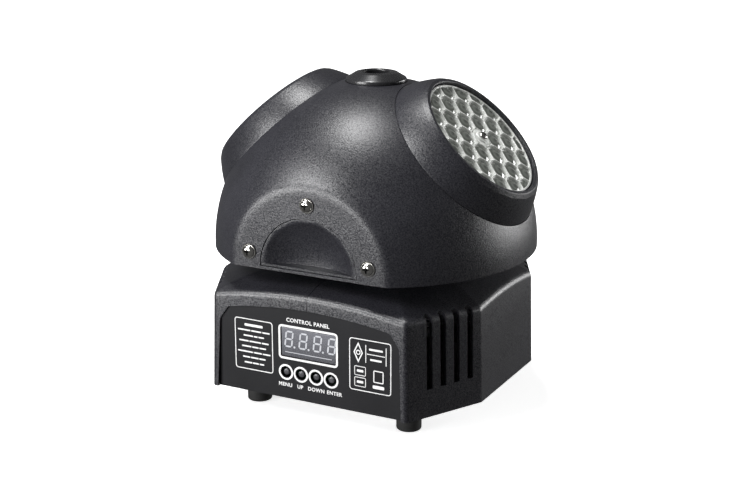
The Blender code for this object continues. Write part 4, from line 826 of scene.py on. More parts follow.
def printedRing(shape, x, z, radius, line, steps=64):
    band(shape, arcPoints(radius, 0, 360 - 360 / steps, steps - 1),
         arcPoints(radius - line, 0, 360 - 360 / steps, steps - 1), inkPlace(x, z))


def printedBar(shape, x, z, width, height):
    corner = 0.3 * min(width, height)
    prism(shape, roundedBox(width, height, corner, 3), 0, panel["inkHeight"], inkPlace(x, z))


def printedWord(text, x, z, size):
    # generic key names, set in the plain built-in face
    curve = bpy.data.curves.new("word", "FONT")
    curve.body = text
    curve.size = size
    curve.align_x = "CENTER"
    curve.align_y = "CENTER"
    curve.extrude = panel["inkHeight"] / 2
    curve.offset = 0.022 * size
    curve.space_character = 1.08
    curve.resolution_u = 3
    item = addItem("word", curve)
    bpy.context.view_layer.update()
    mesh = bpy.data.meshes.new_from_object(item.evaluated_get(bpy.context.evaluated_depsgraph_get()))
    discard(item)
    mesh.transform(inkPlace(x, z) @ Matrix.Translation((0, 0, panel["inkHeight"] / 2)))
    return mesh


labels = {
    "leftBox": (-31.75 * mm, 40.15 * mm, 22.5 * mm, 27.5 * mm),
    "rightBox": (35.1 * mm, 40.05 * mm, 23.2 * mm, 27.3 * mm),
    "leftLines": (0.50, 0.86, 0.56, 0.80, 0.66, 0.88, 0.62, 0.54),
    "corner": 1.6 * mm, "linePitch": 2.9 * mm, "lineHeight": 0.75 * mm, "firstLine": 3.4 * mm,
    "wordGap": 0.5 * mm,
    "diamond": (-6.6 * mm, 6.4 * mm, 2.6 * mm, 5.4 * mm), "diamondHole": 0.74,
    "diamondRing": (1.3 * mm, 0.5 * mm),
    # millimetres from the right box's middle: across, up, then width and height
    "rightBars": ((-2.4, 6.3, 0.4, 9.4), (8.8, 6.3, 0.4, 9.4), (3.2, 8.9, 7.6, 1.0),
                  (3.2, 6.3, 10.0, 0.4), (3.2, 3.6, 6.4, 1.0), (-5.6, -3.2, 3.6, 1.3),
                  (-5.6, -9.0, 3.6, 1.3), (4.6, -10.3, 6.4, 1.7)),
    # the same, then corner radius and line width
    "rightFrames": ((-5.6, -3.2, 6.4, 5.0, 0.7, 0.35), (-5.6, -9.0, 6.4, 5.0, 0.7, 0.35),
                    (4.6, -4.8, 5.6, 6.4, 0.6, 0.5)),
}


def makePrint():
    shape = bmesh.new()
    for name in ("leftBox", "rightBox"):
        printedFrame(shape, *labels[name], labels["corner"], panel["frameLine"])
    x, z, width, height = labels["leftBox"]
    for i, share in enumerate(labels["leftLines"]):
        tall = labels["lineHeight"] * (1.7 if i == 0 else 1.0)
        lineZ = z + height / 2 - labels["firstLine"] - i * labels["linePitch"]
        breaks = [0.0, 1.0] if i == 0 else [0.0, 0.34 + 0.07 * (i % 3), 0.70 + 0.05 * (i % 2), 1.0]
        for start, end in zip(breaks, breaks[1:]):
            barWidth = width * share * (end - start) - labels["wordGap"]
            printedBar(shape, x + width * share * ((start + end) / 2 - 0.5), lineZ, barWidth, tall)
    x, z = labels["rightBox"][:2]
    across, up, halfWidth, halfHeight = labels["diamond"]
    diamond = [(0, halfHeight), (-halfWidth, 0), (0, -halfHeight), (halfWidth, 0)]
    inside = [(a * labels["diamondHole"], b * labels["diamondHole"]) for a, b in diamond]
    band(shape, diamond, inside, inkPlace(x + across, z + up))
    printedRing(shape, x + across, z + up, *labels["diamondRing"], 32)
    for across, up, barWidth, tall in labels["rightBars"]:
        printedBar(shape, x + across * mm, z + up * mm, barWidth * mm, tall * mm)
    for across, up, *sizes in labels["rightFrames"]:
        printedFrame(shape, x + across * mm, z + up * mm, *(value * mm for value in sizes))
    printedFrame(shape, displayMiddle.x, displayMiddle.z, *panel["displayFrame"], panel["displayLine"])
    names = ("menu", "up", "down", "enter")
    titleZ = displayMiddle.z + panel["titleRise"]
    words = [printedWord("CONTROL PANEL", displayMiddle.x, titleZ, panel["titleSize"])]
    for i, name in enumerate(names):
        x = (i - 1.5) * panel["buttonPitch"]
        z = displayMiddle.z - panel["buttonDrop"]
        printedRing(shape, x, z, panel["ringRadius"], panel["ringLine"])
        wordZ = z - panel["nameDrop"]
        words.append(printedWord(name.upper(), panel["nameX"][name], wordZ, panel["nameSize"]))
    for word in words:
        shape.from_mesh(word)
    bmesh.ops.remove_doubles(shape, verts=shape.verts, dist=0.0005 * mm)
    ink = shapeItem("panelPrint", shape, materials["printInk"], 30)
    fitPiece(ink, "base", None)


digit = {"count": 4, "pitch": 8.2 * mm, "shift": 1.2 * mm, "lift": 1.7 * mm, "width": 4.7 * mm,
         "height": 8.8 * mm, "line": 0.85 * mm, "gap": 0.22 * mm, "slant": 0.12, "proud": 0.08 * mm,
         "stop": 0.55 * mm, "stopShift": 0.75 * mm,
         "faintLine": (27.0 * mm, 0.35 * mm, 0.12 * mm), "faintDrop": 7.0 * mm}


def digitShape(shape):
    # seven pointed bars and a full stop
    half = digit["line"] / 2
    gap = digit["gap"]
    wide = digit["width"] / 2 - half
    tall = digit["height"] / 2 - half

    def bar(start, end):
        start = Vector(start)
        end = Vector(end)
        along = (end - start).normalized()
        across = Vector((-along.y, along.x)) * half
        start = start + along * gap
        end = end - along * gap
        tip = along * half
        points = [start, start + tip - across, end - tip - across,
                  end, end - tip + across, start + tip + across]
        prism(shape, [(p.x + digit["slant"] * p.y, p.y) for p in points], 0, 2 * digit["proud"])

    for y in (-tall, 0.0, tall):
        bar((-wide, y), (wide, y))
    for x in (-wide, wide):
        bar((x, 0.0), (x, tall))
        bar((x, -tall), (x, 0.0))
    stop = arcPoints(digit["stop"], 0, 330, 11, centre=(digit["width"] / 2 + digit["stopShift"], -tall))
    prism(shape, stop, 0, 2 * digit["proud"])


def digitTree():
    # one digit at each step of a line
    tree, given = startTree("digitRow", (("Digit", "Object"), ("Count", "Int"), ("Pitch", "Float"),
                                         ("Material", "Material")))
    step = put(tree, "ShaderNodeCombineXYZ", {"X": given["Pitch"]}).outputs["Vector"]
    row = put(tree, "GeometryNodeMeshLine", {"Count": given["Count"], "Offset": step}).outputs["Mesh"]
    source = put(tree, "GeometryNodeObjectInfo", {"Object": given["Digit"]}).outputs["Geometry"]
    spots = put(tree, "GeometryNodeInstanceOnPoints", {"Points": row, "Instance": source})
    endTree(tree, spots.outputs["Instances"], given["Material"])
    return tree


def makeDisplay():
    shape = bmesh.new()
    block(shape, displayLow, displayHigh)
    face = shapeItem("displayFace", shape, materials["display_window"])
    softEdges(face, 0.3 * mm)
    fitPiece(face, "base", "display_window", "display_module")
    one = tool("oneDigit", digitShape)
    row = grow("displayDigits", digitTree(), {"Digit": one, "Count": digit["count"], "Pitch": digit["pitch"],
                                              "Material": materials["digitWhite"]})
    discard(one)
    start = displayMiddle.x + digit["shift"] - digit["pitch"] * (digit["count"] - 1) / 2
    turned = Matrix(((1, 0, 0, start), (0, 0, -1, displayLow.y + digit["proud"]),
                     (0, 1, 0, displayMiddle.z + digit["lift"]), (0, 0, 0, 1)))
    row.data.transform(turned)
    line = bmesh.new()
    line.from_mesh(row.data)
    prism(line, roundedBox(*digit["faintLine"], 2), 0, 2 * digit["proud"],
          turned @ Matrix.Translation((displayMiddle.x - start, -digit["faintDrop"], 0)))
    bmesh.ops.recalc_face_normals(line, faces=line.faces)
    line.to_mesh(row.data)
    line.free()
    smoothShade(row, 20)
    fitPiece(row, "base", "display_window")


button = {"dish": 0.02 * mm, "crown": 0.30 * mm, "edge": 0.4 * mm}


def makeButtons():
    for key in ("menu", "up", "down", "enter"):
        low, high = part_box("button_" + key)
        middle = (low + high) / 2
        radius = (high.x - low.x) / 2
        length = high.y - low.y
        shape = bmesh.new()
        line = [(0, length), (radius * 0.55, length - button["dish"]), (radius, length - button["crown"]),
                (radius, 0), (0, 0)]
        toFront = Matrix(((1, 0, 0, middle.x), (0, 0, -1, high.y), (0, 1, 0, middle.z), (0, 0, 0, 1)))
        lathe(shape, roundedLine(line, button["edge"], 5), toFront, steps=40)
        piece = shapeItem(key + "Button", shape, materials["button_plastic"])
        fitPiece(piece, key + "_button", "button_plastic", "button_" + key)


makePrint()
makeDisplay()
makeButtons()
print("control panel made")


# ---- rear connectors

rear = {
    "flange": 1.2 * mm, "corner": 2.2 * mm, "soft": 0.3 * mm,
    "inletBody": (27.0 * mm, 19.0 * mm, 24.0 * mm), "inletCavity": (23.0 * mm, 15.0 * mm, 18.0 * mm),
    "blade": (2.0 * mm, 4.0 * mm, 11.0 * mm), "bladePitch": 7.0 * mm,
    "signalBody": 10.2 * mm, "signalDepth": 22.0 * mm, "signalCavity": 8.6 * mm, "signalFloor": 15.0 * mm,
    "pinRadius": 1.2 * mm, "pinLength": 9.0 * mm, "pinCircle": 4.6 * mm,
    "fuseBody": 5.6 * mm, "slotReach": 4.0 * mm, "slotHalf": 0.7 * mm,
    "screwInset": 3.2 * mm,
}


def flangePlate(name, node):
    low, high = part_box(node)
    middle = (low + high) / 2
    place = Matrix.Translation((middle.x, 0, middle.z)) @ standing
    outline = roundedBox(high.x - low.x, high.z - low.z, rear["corner"])
    piece = tool(name, prism, outline, high.y - rear["flange"], high.y, place)
    piece.data.materials.append(materials["socket_plastic"])
    return piece, high.y, place


def boxAlong(size, start, end, place):
    outline = roundedBox(size[0], size[1], 0.25 * min(size[0], size[1]), 3)
    return tool("boxTool", prism, outline, start, end, place)


def pinPlaces():
    return [polar(rear["pinCircle"], angle) for angle in (-90, 30, 150)]


def makeInlet():
    piece, face, place = flangePlate("powerInlet", "power_inlet")
    width, height, depth = rear["inletBody"]
    combine(piece, "UNION", boxAlong((width, height), face - depth, face - rear["flange"] / 2, place))
    width, height, depth = rear["inletCavity"]
    floor = face - depth
    combine(piece, "DIFFERENCE", boxAlong((width, height), floor, face + mm, place))
    width, height, depth = rear["blade"]
    blades = [boxAlong((width, height), floor - mm, floor + depth,
                       Matrix.Translation((i * rear["bladePitch"], 0, 0)) @ place) for i in (-1, 0, 1)]
    combine(piece, "UNION", *blades)
    softEdges(piece, rear["soft"], 2, 40)
    fitPiece(piece, "base", "socket_plastic", "power_inlet")


def makeSignalSocket(name, node, hasPins):
    piece, face, place = flangePlate(name, node)
    combine(piece, "UNION", tool("bodyTool", cylinder, rear["signalBody"], face - rear["signalDepth"],
                                 face - rear["flange"] / 2, place))
    pins = []
    floor = face - rear["signalFloor"]
    start, end = (floor - mm, floor + rear["pinLength"]) if hasPins else (face - rear["pinLength"], face + mm)
    for x, z in pinPlaces():
        spot = Matrix.Translation((x, 0, z)) @ place
        pins.append(tool("pinTool", cylinder, rear["pinRadius"], start, end, spot, 24))
    if hasPins:
        combine(piece, "DIFFERENCE",
                tool("cavityTool", cylinder, rear["signalCavity"], floor, face + mm, place))
    combine(piece, "UNION" if hasPins else "DIFFERENCE", *pins)
    softEdges(piece, rear["soft"], 2, 40)
    fitPiece(piece, "base", "socket_plastic", node)


def makeFuse():
    low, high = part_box("fuse_holder")
    middle = (low + high) / 2
    radius = (high.z - low.z) / 2
    line = [(0, high.y), (radius, high.y), (radius, high.y - rear["flange"]),
            (rear["fuseBody"], high.y - rear["flange"]), (rear["fuseBody"], low.y), (0, low.y)]
    place = Matrix.Translation((middle.x, 0, middle.z)) @ standing
    piece = tool("fuseHolder", lathe, roundedLine(line, 0.4 * mm, 4), place, 64)
    piece.data.materials.append(materials["socket_plastic"])
    slotTool = boxAlong((2 * rear["slotReach"], 2 * rear["slotHalf"]), high.y - 0.7 * mm, high.y + mm, place)
    combine(piece, "DIFFERENCE", slotTool)
    smoothShade(piece)
    fitPiece(piece, "base", "socket_plastic", "fuse_holder")


connectorScrew = {"radius": 1.9 * mm, "dome": 1.7 * mm, "height": 0.5 * mm, "flange": 0.12 * mm,
                  "shank": 0.8 * mm, "length": 1.0 * mm,
                  "wing": 0.22 * mm, "reach": 1.0 * mm, "recess": 0.35 * mm}


def makeRear():
    makeInlet()
    makeFuse()
    makeSignalSocket("signalInSocket", "signal_in_socket", True)
    makeSignalSocket("signalOutSocket", "signal_out_socket", False)
    spots = []
    for node in ("signal_in_socket", "signal_out_socket"):
        low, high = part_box(node)
        inset = rear["screwInset"]
        spots.append(((low.x + inset, high.y, high.z - inset), (-math.pi / 2, 0, 0)))
        spots.append(((high.x - inset, high.y, low.z + inset), (-math.pi / 2, 0, 0)))
    one = crossScrew("oneConnectorScrew", connectorScrew)
    screws = grow("connectorScrews", fastenerSet, {"Fastener": one, "Scale": 1.0,
                                                   "Material": materials["nickel"]}, spotMesh("spots", spots))
    discard(one)
    smoothShade(screws, 30)
    fitPiece(screws, "base", "nickel")


makeRear()
print("rear connectors made")


# ---- head: dome, inserts, screws, cap and turntable

head = {
    "radius": 85.6 * mm, "skirt": 1.5 * mm, "wall": 2.5 * mm, "flatY": 73.8 * mm, "flatSoft": 2.2 * mm,
    "segments": 144, "rings": 180, "insertHole": 27.5 * mm, "capSeat": 2.2 * mm, "capHole": 10.8 * mm,
    "barrelTilt": 45.0,
}
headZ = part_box("dome")[0].z + head["skirt"]
apexZ = headZ + head["radius"]


def domeTree():
    # a ball whose front and rear are pressed flat with a soft edge; its upper half and a short skirt are kept
    tree, given = startTree("domeRule", (("Radius", "Float"), ("Flat", "Float"), ("Softness", "Float"),
                                         ("Skirt", "Float"), ("Segments", "Int"), ("Rings", "Int"),
                                         ("Material", "Material")))
    ball = put(tree, "GeometryNodeMeshUVSphere", {"Segments": given["Segments"], "Rings": given["Rings"],
                                                  "Radius": 1.0}).outputs["Mesh"]
    turned = put(tree, "GeometryNodeTransform", {"Geometry": ball,
                                                 "Rotation": (math.pi / 2, 0, 0)}).outputs["Geometry"]
    place = put(tree, "GeometryNodeInputPosition").outputs["Position"]
    parts = put(tree, "ShaderNodeSeparateXYZ", {"Vector": place}).outputs
    steep = calc(tree, "MAXIMUM", calc(tree, "ABSOLUTE", parts["Y"]), 0.05)
    flat = calc(tree, "DIVIDE", given["Flat"], steep)
    reach = calc(tree, "SMOOTH_MIN", given["Radius"], flat, given["Softness"])
    moved = put(tree, "ShaderNodeVectorMath", {0: place, "Scale": reach}, operation="SCALE").outputs["Vector"]
    pressed = put(tree, "GeometryNodeSetPosition", {"Geometry": turned,
                                                    "Position": moved}).outputs["Geometry"]
    below = calc(tree, "LESS_THAN", put(tree, "ShaderNodeSeparateXYZ", {
        "Vector": put(tree, "GeometryNodeInputPosition").outputs["Position"]}).outputs["Z"], -0.00001)
    upper = put(tree, "GeometryNodeDeleteGeometry", {"Geometry": pressed,
                                                     "Selection": below}).outputs["Geometry"]
    neighbours = put(tree, "GeometryNodeInputMeshEdgeNeighbors").outputs["Face Count"]
    rim = calc(tree, "LESS_THAN", neighbours, 1.5)
    down = put(tree, "ShaderNodeCombineXYZ", {"Z": -1.0}).outputs["Vector"]
    skirt = put(tree, "GeometryNodeExtrudeMesh", {
        "Mesh": upper, "Selection": rim, "Offset": down, "Offset Scale": given["Skirt"]}, mode="EDGES")
    closeTree(tree, skirt.outputs["Mesh"], given["Material"])
    return tree


def barrelPlace(side):
    tilt = math.radians(side * head["barrelTilt"])
    return Matrix.Translation((0, 0, headZ)) @ Matrix.Rotation(tilt, 4, "Y")


def halfDisc(radius, low, steps=96):
    return [(x, max(z, low)) for x, z in arcPoints(radius, 0, 180, steps, centre=(0, headZ))]


def makeDome():
    dome = grow("domeShell", domeTree(), {
        "Radius": head["radius"], "Flat": head["flatY"], "Softness": head["flatSoft"], "Skirt": head["skirt"],
        "Segments": head["segments"], "Rings": head["rings"], "Material": materials["housing_plastic"]})
    shape = bmesh.new()
    shape.from_mesh(dome.data)
    bmesh.ops.remove_doubles(shape, verts=shape.verts, dist=0.01 * mm)
    bmesh.ops.translate(shape, verts=shape.verts, vec=(0, 0, headZ))
    bmesh.ops.recalc_face_normals(shape, faces=shape.faces)
    shape.to_mesh(dome.data)
    shape.free()
    smoothShade(dome, 40)
    giveWall(dome, head["wall"])
    tools = []
    for side in (-1, 1):
        tools.append(tool("barrelHole", cylinder, barrel["seamRadius"] + fit, 36 * mm, 2 * head["radius"],
                          barrelPlace(side), 144))
        near, far = sorted((side * (head["flatY"] - 4 * head["wall"]), side * (head["flatY"] + 3 * mm)))
        tools.append(tool("insertHole", prism, halfDisc(head["insertHole"], headZ), near, far, standing))
    seatRadius = cap["radius"] + fit
    top = apexZ + 5 * mm
    seat = apexZ - head["capSeat"]
    low = headZ + 40 * mm
    line = [(0, top), (seatRadius, top), (seatRadius, seat),
            (head["capHole"], seat), (head["capHole"], low), (0, low)]
    tools.append(tool("capHole", lathe, line))
    combine(dome, "DIFFERENCE", *tools)
    tidyMesh(dome)
    smoothShade(dome, 32)
    fitPiece(dome, "head", "housing_plastic", "dome")


insert = {"radius": 27.2 * mm, "scoopRadius": 25.4 * mm, "scoopDepth": 7.0 * mm, "ledge": 1.2 * mm}


def makeInserts():
    for side, name in ((-1, "front"), (1, "rear")):
        low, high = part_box(name + "_insert")
        bottom = low.z
        piece = tool(name + "Insert", prism, halfDisc(insert["radius"], bottom), low.y, high.y, standing)
        piece.data.materials.append(materials["housing_plastic"])
        face = low.y if side < 0 else high.y
        ball = (insert["scoopRadius"] ** 2 + insert["scoopDepth"] ** 2) / (2 * insert["scoopDepth"])
        scoop = bmesh.new()
        centre = (0, face + side * (ball - insert["scoopDepth"]), headZ)
        bmesh.ops.create_uvsphere(scoop, u_segments=128, v_segments=96, radius=ball,
                                  matrix=Matrix.Translation(centre))
        scoopTool = shapeItem("scoopTool", scoop)
        window = tool("scoopWindow", block, (-60 * mm, -120 * mm, bottom + insert["ledge"]),
                      (60 * mm, 120 * mm, headZ + 60 * mm))
        combine(scoopTool, "INTERSECT", window)
        combine(piece, "DIFFERENCE", scoopTool)
        softEdges(piece, 0.2 * mm, 2, 40)
        fitPiece(piece, "head", "housing_plastic", name + "_insert")


housingScrew = {"radius": 4.0 * mm, "dome": 3.3 * mm, "height": 2.2 * mm, "flange": 0.55 * mm,
                "shank": 1.9 * mm, "length": 12.0 * mm,
                "wing": 0.5 * mm, "reach": 1.9 * mm, "recess": 1.4 * mm}


def makeHousingScrews():
    spots = []
    nodes = []
    for side, place in ((-1, "front"), (1, "rear")):
        for hand in ("left", "right", "top"):
            node = f"housing_screw_{place}_{hand}"
            low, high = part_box(node)
            middle = (low + high) / 2
            outer = low.y if side < 0 else high.y
            spots.append(((middle.x, outer - side * housingScrew["height"], middle.z),
                          (-side * math.pi / 2, 0, 0)))
            nodes.append(node)
    one = crossScrew("oneScrew", housingScrew)
    screws = grow("housingScrews", fastenerSet, {"Fastener": one, "Scale": 1.0,
                                                 "Material": materials["nickel"]}, spotMesh("spots", spots))
    discard(one)
    smoothShade(screws, 30)
    fitPiece(screws, "head", "nickel", *nodes)


cap = {"radius": 15.9 * mm, "band": 2.2 * mm, "stem": 10.5 * mm, "stemLength": 6.0 * mm, "hole": 7.0 * mm,
       "holeFloor": 4.0 * mm}


def makeCap():
    low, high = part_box("top_cap")
    top = high.z
    seat = low.z + cap["stemLength"]
    hole = cap["hole"]
    line = [(0, seat - cap["holeFloor"]), (hole, seat - cap["holeFloor"]), (hole, top - 0.7 * mm),
            (hole + 1.0 * mm, top), (hole + 4.0 * mm, top - 0.6 * mm),
            (cap["radius"] - 1.8 * mm, seat + cap["band"] + 1.0 * mm), (cap["radius"], seat + cap["band"]),
            (cap["radius"], seat), (cap["stem"], seat), (cap["stem"], low.z), (0, low.z)]
    shape = bmesh.new()
    lathe(shape, roundedLine(line, 1.3 * mm, 6), steps=128)
    piece = shapeItem("topCap", shape, materials["cap_plastic"], 45)
    fitPiece(piece, "head", "cap_plastic", "top_cap")


turntable = {"shelf": 77.0 * mm, "hub": 26.0 * mm, "bore": 12.3 * mm, "edge": 0.8 * mm}


def makeTurntable():
    low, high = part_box("turntable")
    radius = high.x
    shelf = turntable["shelf"]
    hub = turntable["hub"]
    bore = turntable["bore"]
    shape = bmesh.new()
    line = [(radius, high.z), (radius, shelf), (hub, shelf), (hub, low.z), (bore, low.z), (bore, high.z)]
    lathe(shape, roundedLine(line, turntable["edge"], 4, closed=True), steps=128, closed=True)
    piece = shapeItem("turntableRing", shape, materials["housing_plastic"], 45)
    fitPiece(piece, "head", "housing_plastic", "turntable")


# ---- lens barrels and lens plates; heights run along the tilted axis from the dome's middle

barrel = {"seamRadius": 46.0 * mm, "rimRadius": 37.7 * mm, "swell": 0.55 * mm, "rise": 14.4 * mm,
          "sink": 7.5 * mm, "wall": 2.4 * mm, "flange": 1.3 * mm, "bore": 35.2 * mm,
          "rimSoft": 0.35 * mm, "rimChamfer": 0.56 * mm}
seamReach = math.sqrt(head["radius"] ** 2 - barrel["seamRadius"] ** 2)
rimReach = seamReach + barrel["rise"]
lens = {"radius": 34.6 * mm, "recess": 1.8 * mm, "thickness": 2.4 * mm,
        "boss": 3.4 * mm, "bossHeight": 1.0 * mm, "screwTurn": 20.0,
        "pitch": 11.6 * mm, "turn": -21.0, "cellRadius": 33.7 * mm,
        "wallHalf": 0.30 * mm, "cellDepth": 1.5 * mm,
        "lensletRise": 1.35 * mm, "around": 36}
lensTop = rimReach - lens["recess"]
lensBack = lensTop - lens["thickness"]


def makeBarrel(side, hand):
    low = seamReach - barrel["sink"]
    shelf = low + barrel["wall"]
    chamfer = barrel["rimChamfer"]
    outer = [(barrel["rimRadius"] - chamfer, rimReach), (barrel["rimRadius"], rimReach - chamfer)]
    steps = 16
    for i in range(2, steps + 1):
        share = i / steps
        radius = barrel["rimRadius"] + (barrel["seamRadius"] - barrel["rimRadius"]) * share
        swell = barrel["swell"] * 4 * share * (1 - share)
        outer.append((radius + swell, rimReach - barrel["rise"] * share))
    line = [(barrel["bore"], rimReach)] + outer + [
        (barrel["seamRadius"], shelf), (barrel["seamRadius"] + barrel["flange"], shelf),
        (barrel["seamRadius"] + barrel["flange"], low), (barrel["seamRadius"] - barrel["wall"], low),
        (barrel["seamRadius"] - barrel["wall"], seamReach - barrel["wall"] / 2),
        (barrel["bore"], lensBack - 1.5 * mm)]
    shape = bmesh.new()
    lathe(shape, roundedLine(line, barrel["rimSoft"], 5, closed=True), barrelPlace(side), 160, closed=True)
    piece = shapeItem("lensBarrel" + hand, shape, materials["housing_plastic"], 32)
    fitPiece(piece, "head", "housing_plastic", "barrel_" + hand.lower())


def hexReach(degrees, apothem, roundness):
    # distance from the middle of a cell to its wall, between a hexagon and a circle
    offset = (degrees + 30) % 60 - 30
    sharp = apothem / math.cos(math.radians(offset))
    return sharp + (apothem * 1.03 - sharp) * roundness


def cellLoop(shape, inset, height, roundness):
    apothem = lens["pitch"] / 2 - inset
    points = []
    for i in range(lens["around"]):
        angle = 360 * i / lens["around"]
        points.append(shape.verts.new((*polar(hexReach(angle, apothem, roundness), angle), height)))
    return points


def bridge(shape, loops, closed=False):
    for lower, upper in zip(loops, loops[1:] + loops[:1] if closed else loops[1:]):
        for i in range(len(lower)):
            j = (i + 1) % len(lower)
            shape.faces.new((lower[i], lower[j], upper[j], upper[i]))


def cellWall(shape):
    half = lens["wallHalf"]
    floor = lensTop - lens["cellDepth"] - 0.3 * mm
    loops = [cellLoop(shape, -0.03 * mm, floor, 0.0), cellLoop(shape, -0.03 * mm, lensTop - 0.02 * mm, 0.0),
             cellLoop(shape, half * 0.5, lensTop, 0.10), cellLoop(shape, half, lensTop - 0.12 * mm, 0.35),
             cellLoop(shape, half * 1.5, lensTop - 0.7 * mm, 0.6), cellLoop(shape, half * 1.9, floor, 0.7)]
    bridge(shape, loops, closed=True)


def cellLenslet(shape):
    layer = shape.verts.layers.float.new("reach")  # how far out each point lies, which places the painted reflection bands on the glass
    half = lens["wallHalf"]
    edge = lensTop - lens["cellDepth"]
    loops = [cellLoop(shape, half * 1.6, edge - 0.2 * mm, 0.6)]
    shares = (1.0, 0.93, 0.82, 0.68, 0.5, 0.28)
    for share in shares:
        apothem = lens["pitch"] / 2 - half * 1.6
        inset = lens["pitch"] / 2 - apothem * share
        rise = lens["lensletRise"] * (1 - share ** 2)
        loops.append(cellLoop(shape, inset, edge + rise, 0.6 + 0.4 * (1 - share)))
    bridge(shape, loops)
    shape.faces.new(loops[0])
    tip = shape.verts.new((0, 0, edge + lens["lensletRise"]))
    last = loops[-1]
    for i in range(len(last)):
        shape.faces.new((last[i], last[(i + 1) % len(last)], tip))
    for loop, share in zip(loops, (1.0,) + shares):
        for vert in loop:
            vert[layer] = share


def honeycombTree():
    # cells on a turned triangular lattice, pulled in where they pass the plate's edge
    tree, given = startTree("honeycomb", (("Cell", "Object"), ("Pitch", "Float"), ("Turn", "Float"),
                                          ("Reach", "Float"), ("Material", "Material")))
    grid = put(tree, "GeometryNodeMeshGrid", {"Size X": 8.0, "Size Y": 8.0, "Vertices X": 9,
                                              "Vertices Y": 9}).outputs["Mesh"]
    parts = put(tree, "ShaderNodeSeparateXYZ", {
        "Vector": put(tree, "GeometryNodeInputPosition").outputs["Position"]}).outputs
    x = calc(tree, "MULTIPLY", calc(tree, "MULTIPLY_ADD", parts["Y"], 0.5, parts["X"]), given["Pitch"])
    y = calc(tree, "MULTIPLY", calc(tree, "MULTIPLY", parts["Y"], math.sqrt(3) / 2), given["Pitch"])
    flat = put(tree, "ShaderNodeCombineXYZ", {"X": x, "Y": y}).outputs["Vector"]
    turned = put(tree, "ShaderNodeVectorRotate", {"Vector": flat, "Angle": given["Turn"]},
                 rotation_type="Z_AXIS").outputs["Vector"]
    lattice = put(tree, "GeometryNodeSetPosition", {"Geometry": grid, "Position": turned}).outputs["Geometry"]
    distance = put(tree, "ShaderNodeVectorMath", {
        0: put(tree, "GeometryNodeInputPosition").outputs["Position"]}, operation="LENGTH").outputs["Value"]
    near = calc(tree, "LESS_THAN", distance, calc(tree, "MULTIPLY", given["Pitch"], 0.5))
    far = calc(tree, "GREATER_THAN", distance, calc(tree, "MULTIPLY", given["Pitch"], 3.2))
    outside = calc(tree, "MAXIMUM", near, far)
    kept = put(tree, "GeometryNodeDeleteGeometry", {"Geometry": lattice,
                                                    "Selection": outside}).outputs["Geometry"]
    source = put(tree, "GeometryNodeObjectInfo", {"Object": given["Cell"]}).outputs["Geometry"]
    spin = put(tree, "ShaderNodeCombineXYZ", {"Z": given["Turn"]}).outputs["Vector"]
    cells = put(tree, "GeometryNodeInstanceOnPoints", {"Points": kept, "Instance": source,
                                                       "Rotation": spin}).outputs["Instances"]
    real = put(tree, "GeometryNodeRealizeInstances", {"Geometry": cells}).outputs["Geometry"]
    here = put(tree, "GeometryNodeInputPosition").outputs["Position"]
    split = put(tree, "ShaderNodeSeparateXYZ", {"Vector": here}).outputs
    across = put(tree, "ShaderNodeCombineXYZ", {"X": split["X"], "Y": split["Y"]}).outputs["Vector"]
    span = put(tree, "ShaderNodeVectorMath", {0: across}, operation="LENGTH").outputs["Value"]
    ratio = calc(tree, "DIVIDE", given["Reach"], calc(tree, "MAXIMUM", span, 0.0001))
    shrink = calc(tree, "MINIMUM", ratio, 1.0)
    pulled = put(tree, "ShaderNodeVectorMath", {0: across, "Scale": shrink},
                 operation="SCALE").outputs["Vector"]
    lifted = put(tree, "ShaderNodeVectorMath", {
        0: pulled, 1: put(tree, "ShaderNodeCombineXYZ", {"Z": split["Z"]}).outputs["Vector"]},
        operation="ADD").outputs["Vector"]
    trimmed = put(tree, "GeometryNodeSetPosition", {"Geometry": real, "Position": lifted}).outputs["Geometry"]
    closeTree(tree, trimmed, given["Material"])
    return tree


lensScrew = {"radius": 2.5 * mm, "dome": 2.3 * mm, "height": 1.5 * mm, "flange": 0.3 * mm, "shank": 1.3 * mm,
             "length": 8.0 * mm, "wing": 0.32 * mm, "reach": 1.35 * mm, "recess": 1.0 * mm}


def makeLens(side, hand, tree):
    body = "lens_" + hand.lower()
    place = barrelPlace(side)
    floor = lensTop - lens["cellDepth"] - 0.1 * mm
    flat = lens["pitch"] / 2 - 0.3 * mm
    line = [(0, lensTop + lens["bossHeight"]), (lens["boss"], lensTop + lens["bossHeight"]),
            (lens["boss"], lensTop - 0.05 * mm), (flat, lensTop - 0.05 * mm), (flat, floor),
            (lens["cellRadius"] - 0.2 * mm, floor), (lens["cellRadius"] - 0.2 * mm, lensTop),
            (lens["radius"], lensTop), (lens["radius"], lensBack), (0, lensBack)]
    shape = bmesh.new()
    lathe(shape, roundedLine(line, 0.3 * mm, 4), place, 128)
    plate = shapeItem("lensPlate" + hand, shape, materials["clear_lens"], 32)
    fitPiece(plate, body, "clear_lens", "lens_plate_" + hand.lower())
    layers = (("Walls", cellWall, "clear_lens"), ("Lenslets", cellLenslet, "lensletGlass"))
    for label, build, finish in layers:
        cell = tool("oneCell", build)
        comb = grow("lens" + label + hand, tree, {
            "Cell": cell, "Pitch": lens["pitch"], "Turn": math.radians(side * lens["turn"] + 90),
            "Reach": lens["cellRadius"], "Material": materials[finish]})
        discard(cell)
        comb.data.transform(place)
        smoothShade(comb, 32)
        fitPiece(comb, body, "clear_lens")
    screw = crossScrew("lensScrew" + hand, lensScrew)
    screwTurn = math.radians(lens["screwTurn"])
    screw.data.materials.append(materials["nickel"])
    seat = lensTop + lens["bossHeight"] + fit
    screw.data.transform(place @ Matrix.Translation((0, 0, seat)) @ Matrix.Rotation(screwTurn, 4, "Z"))
    fitPiece(screw, body, "nickel", "lens_screw_" + hand.lower())


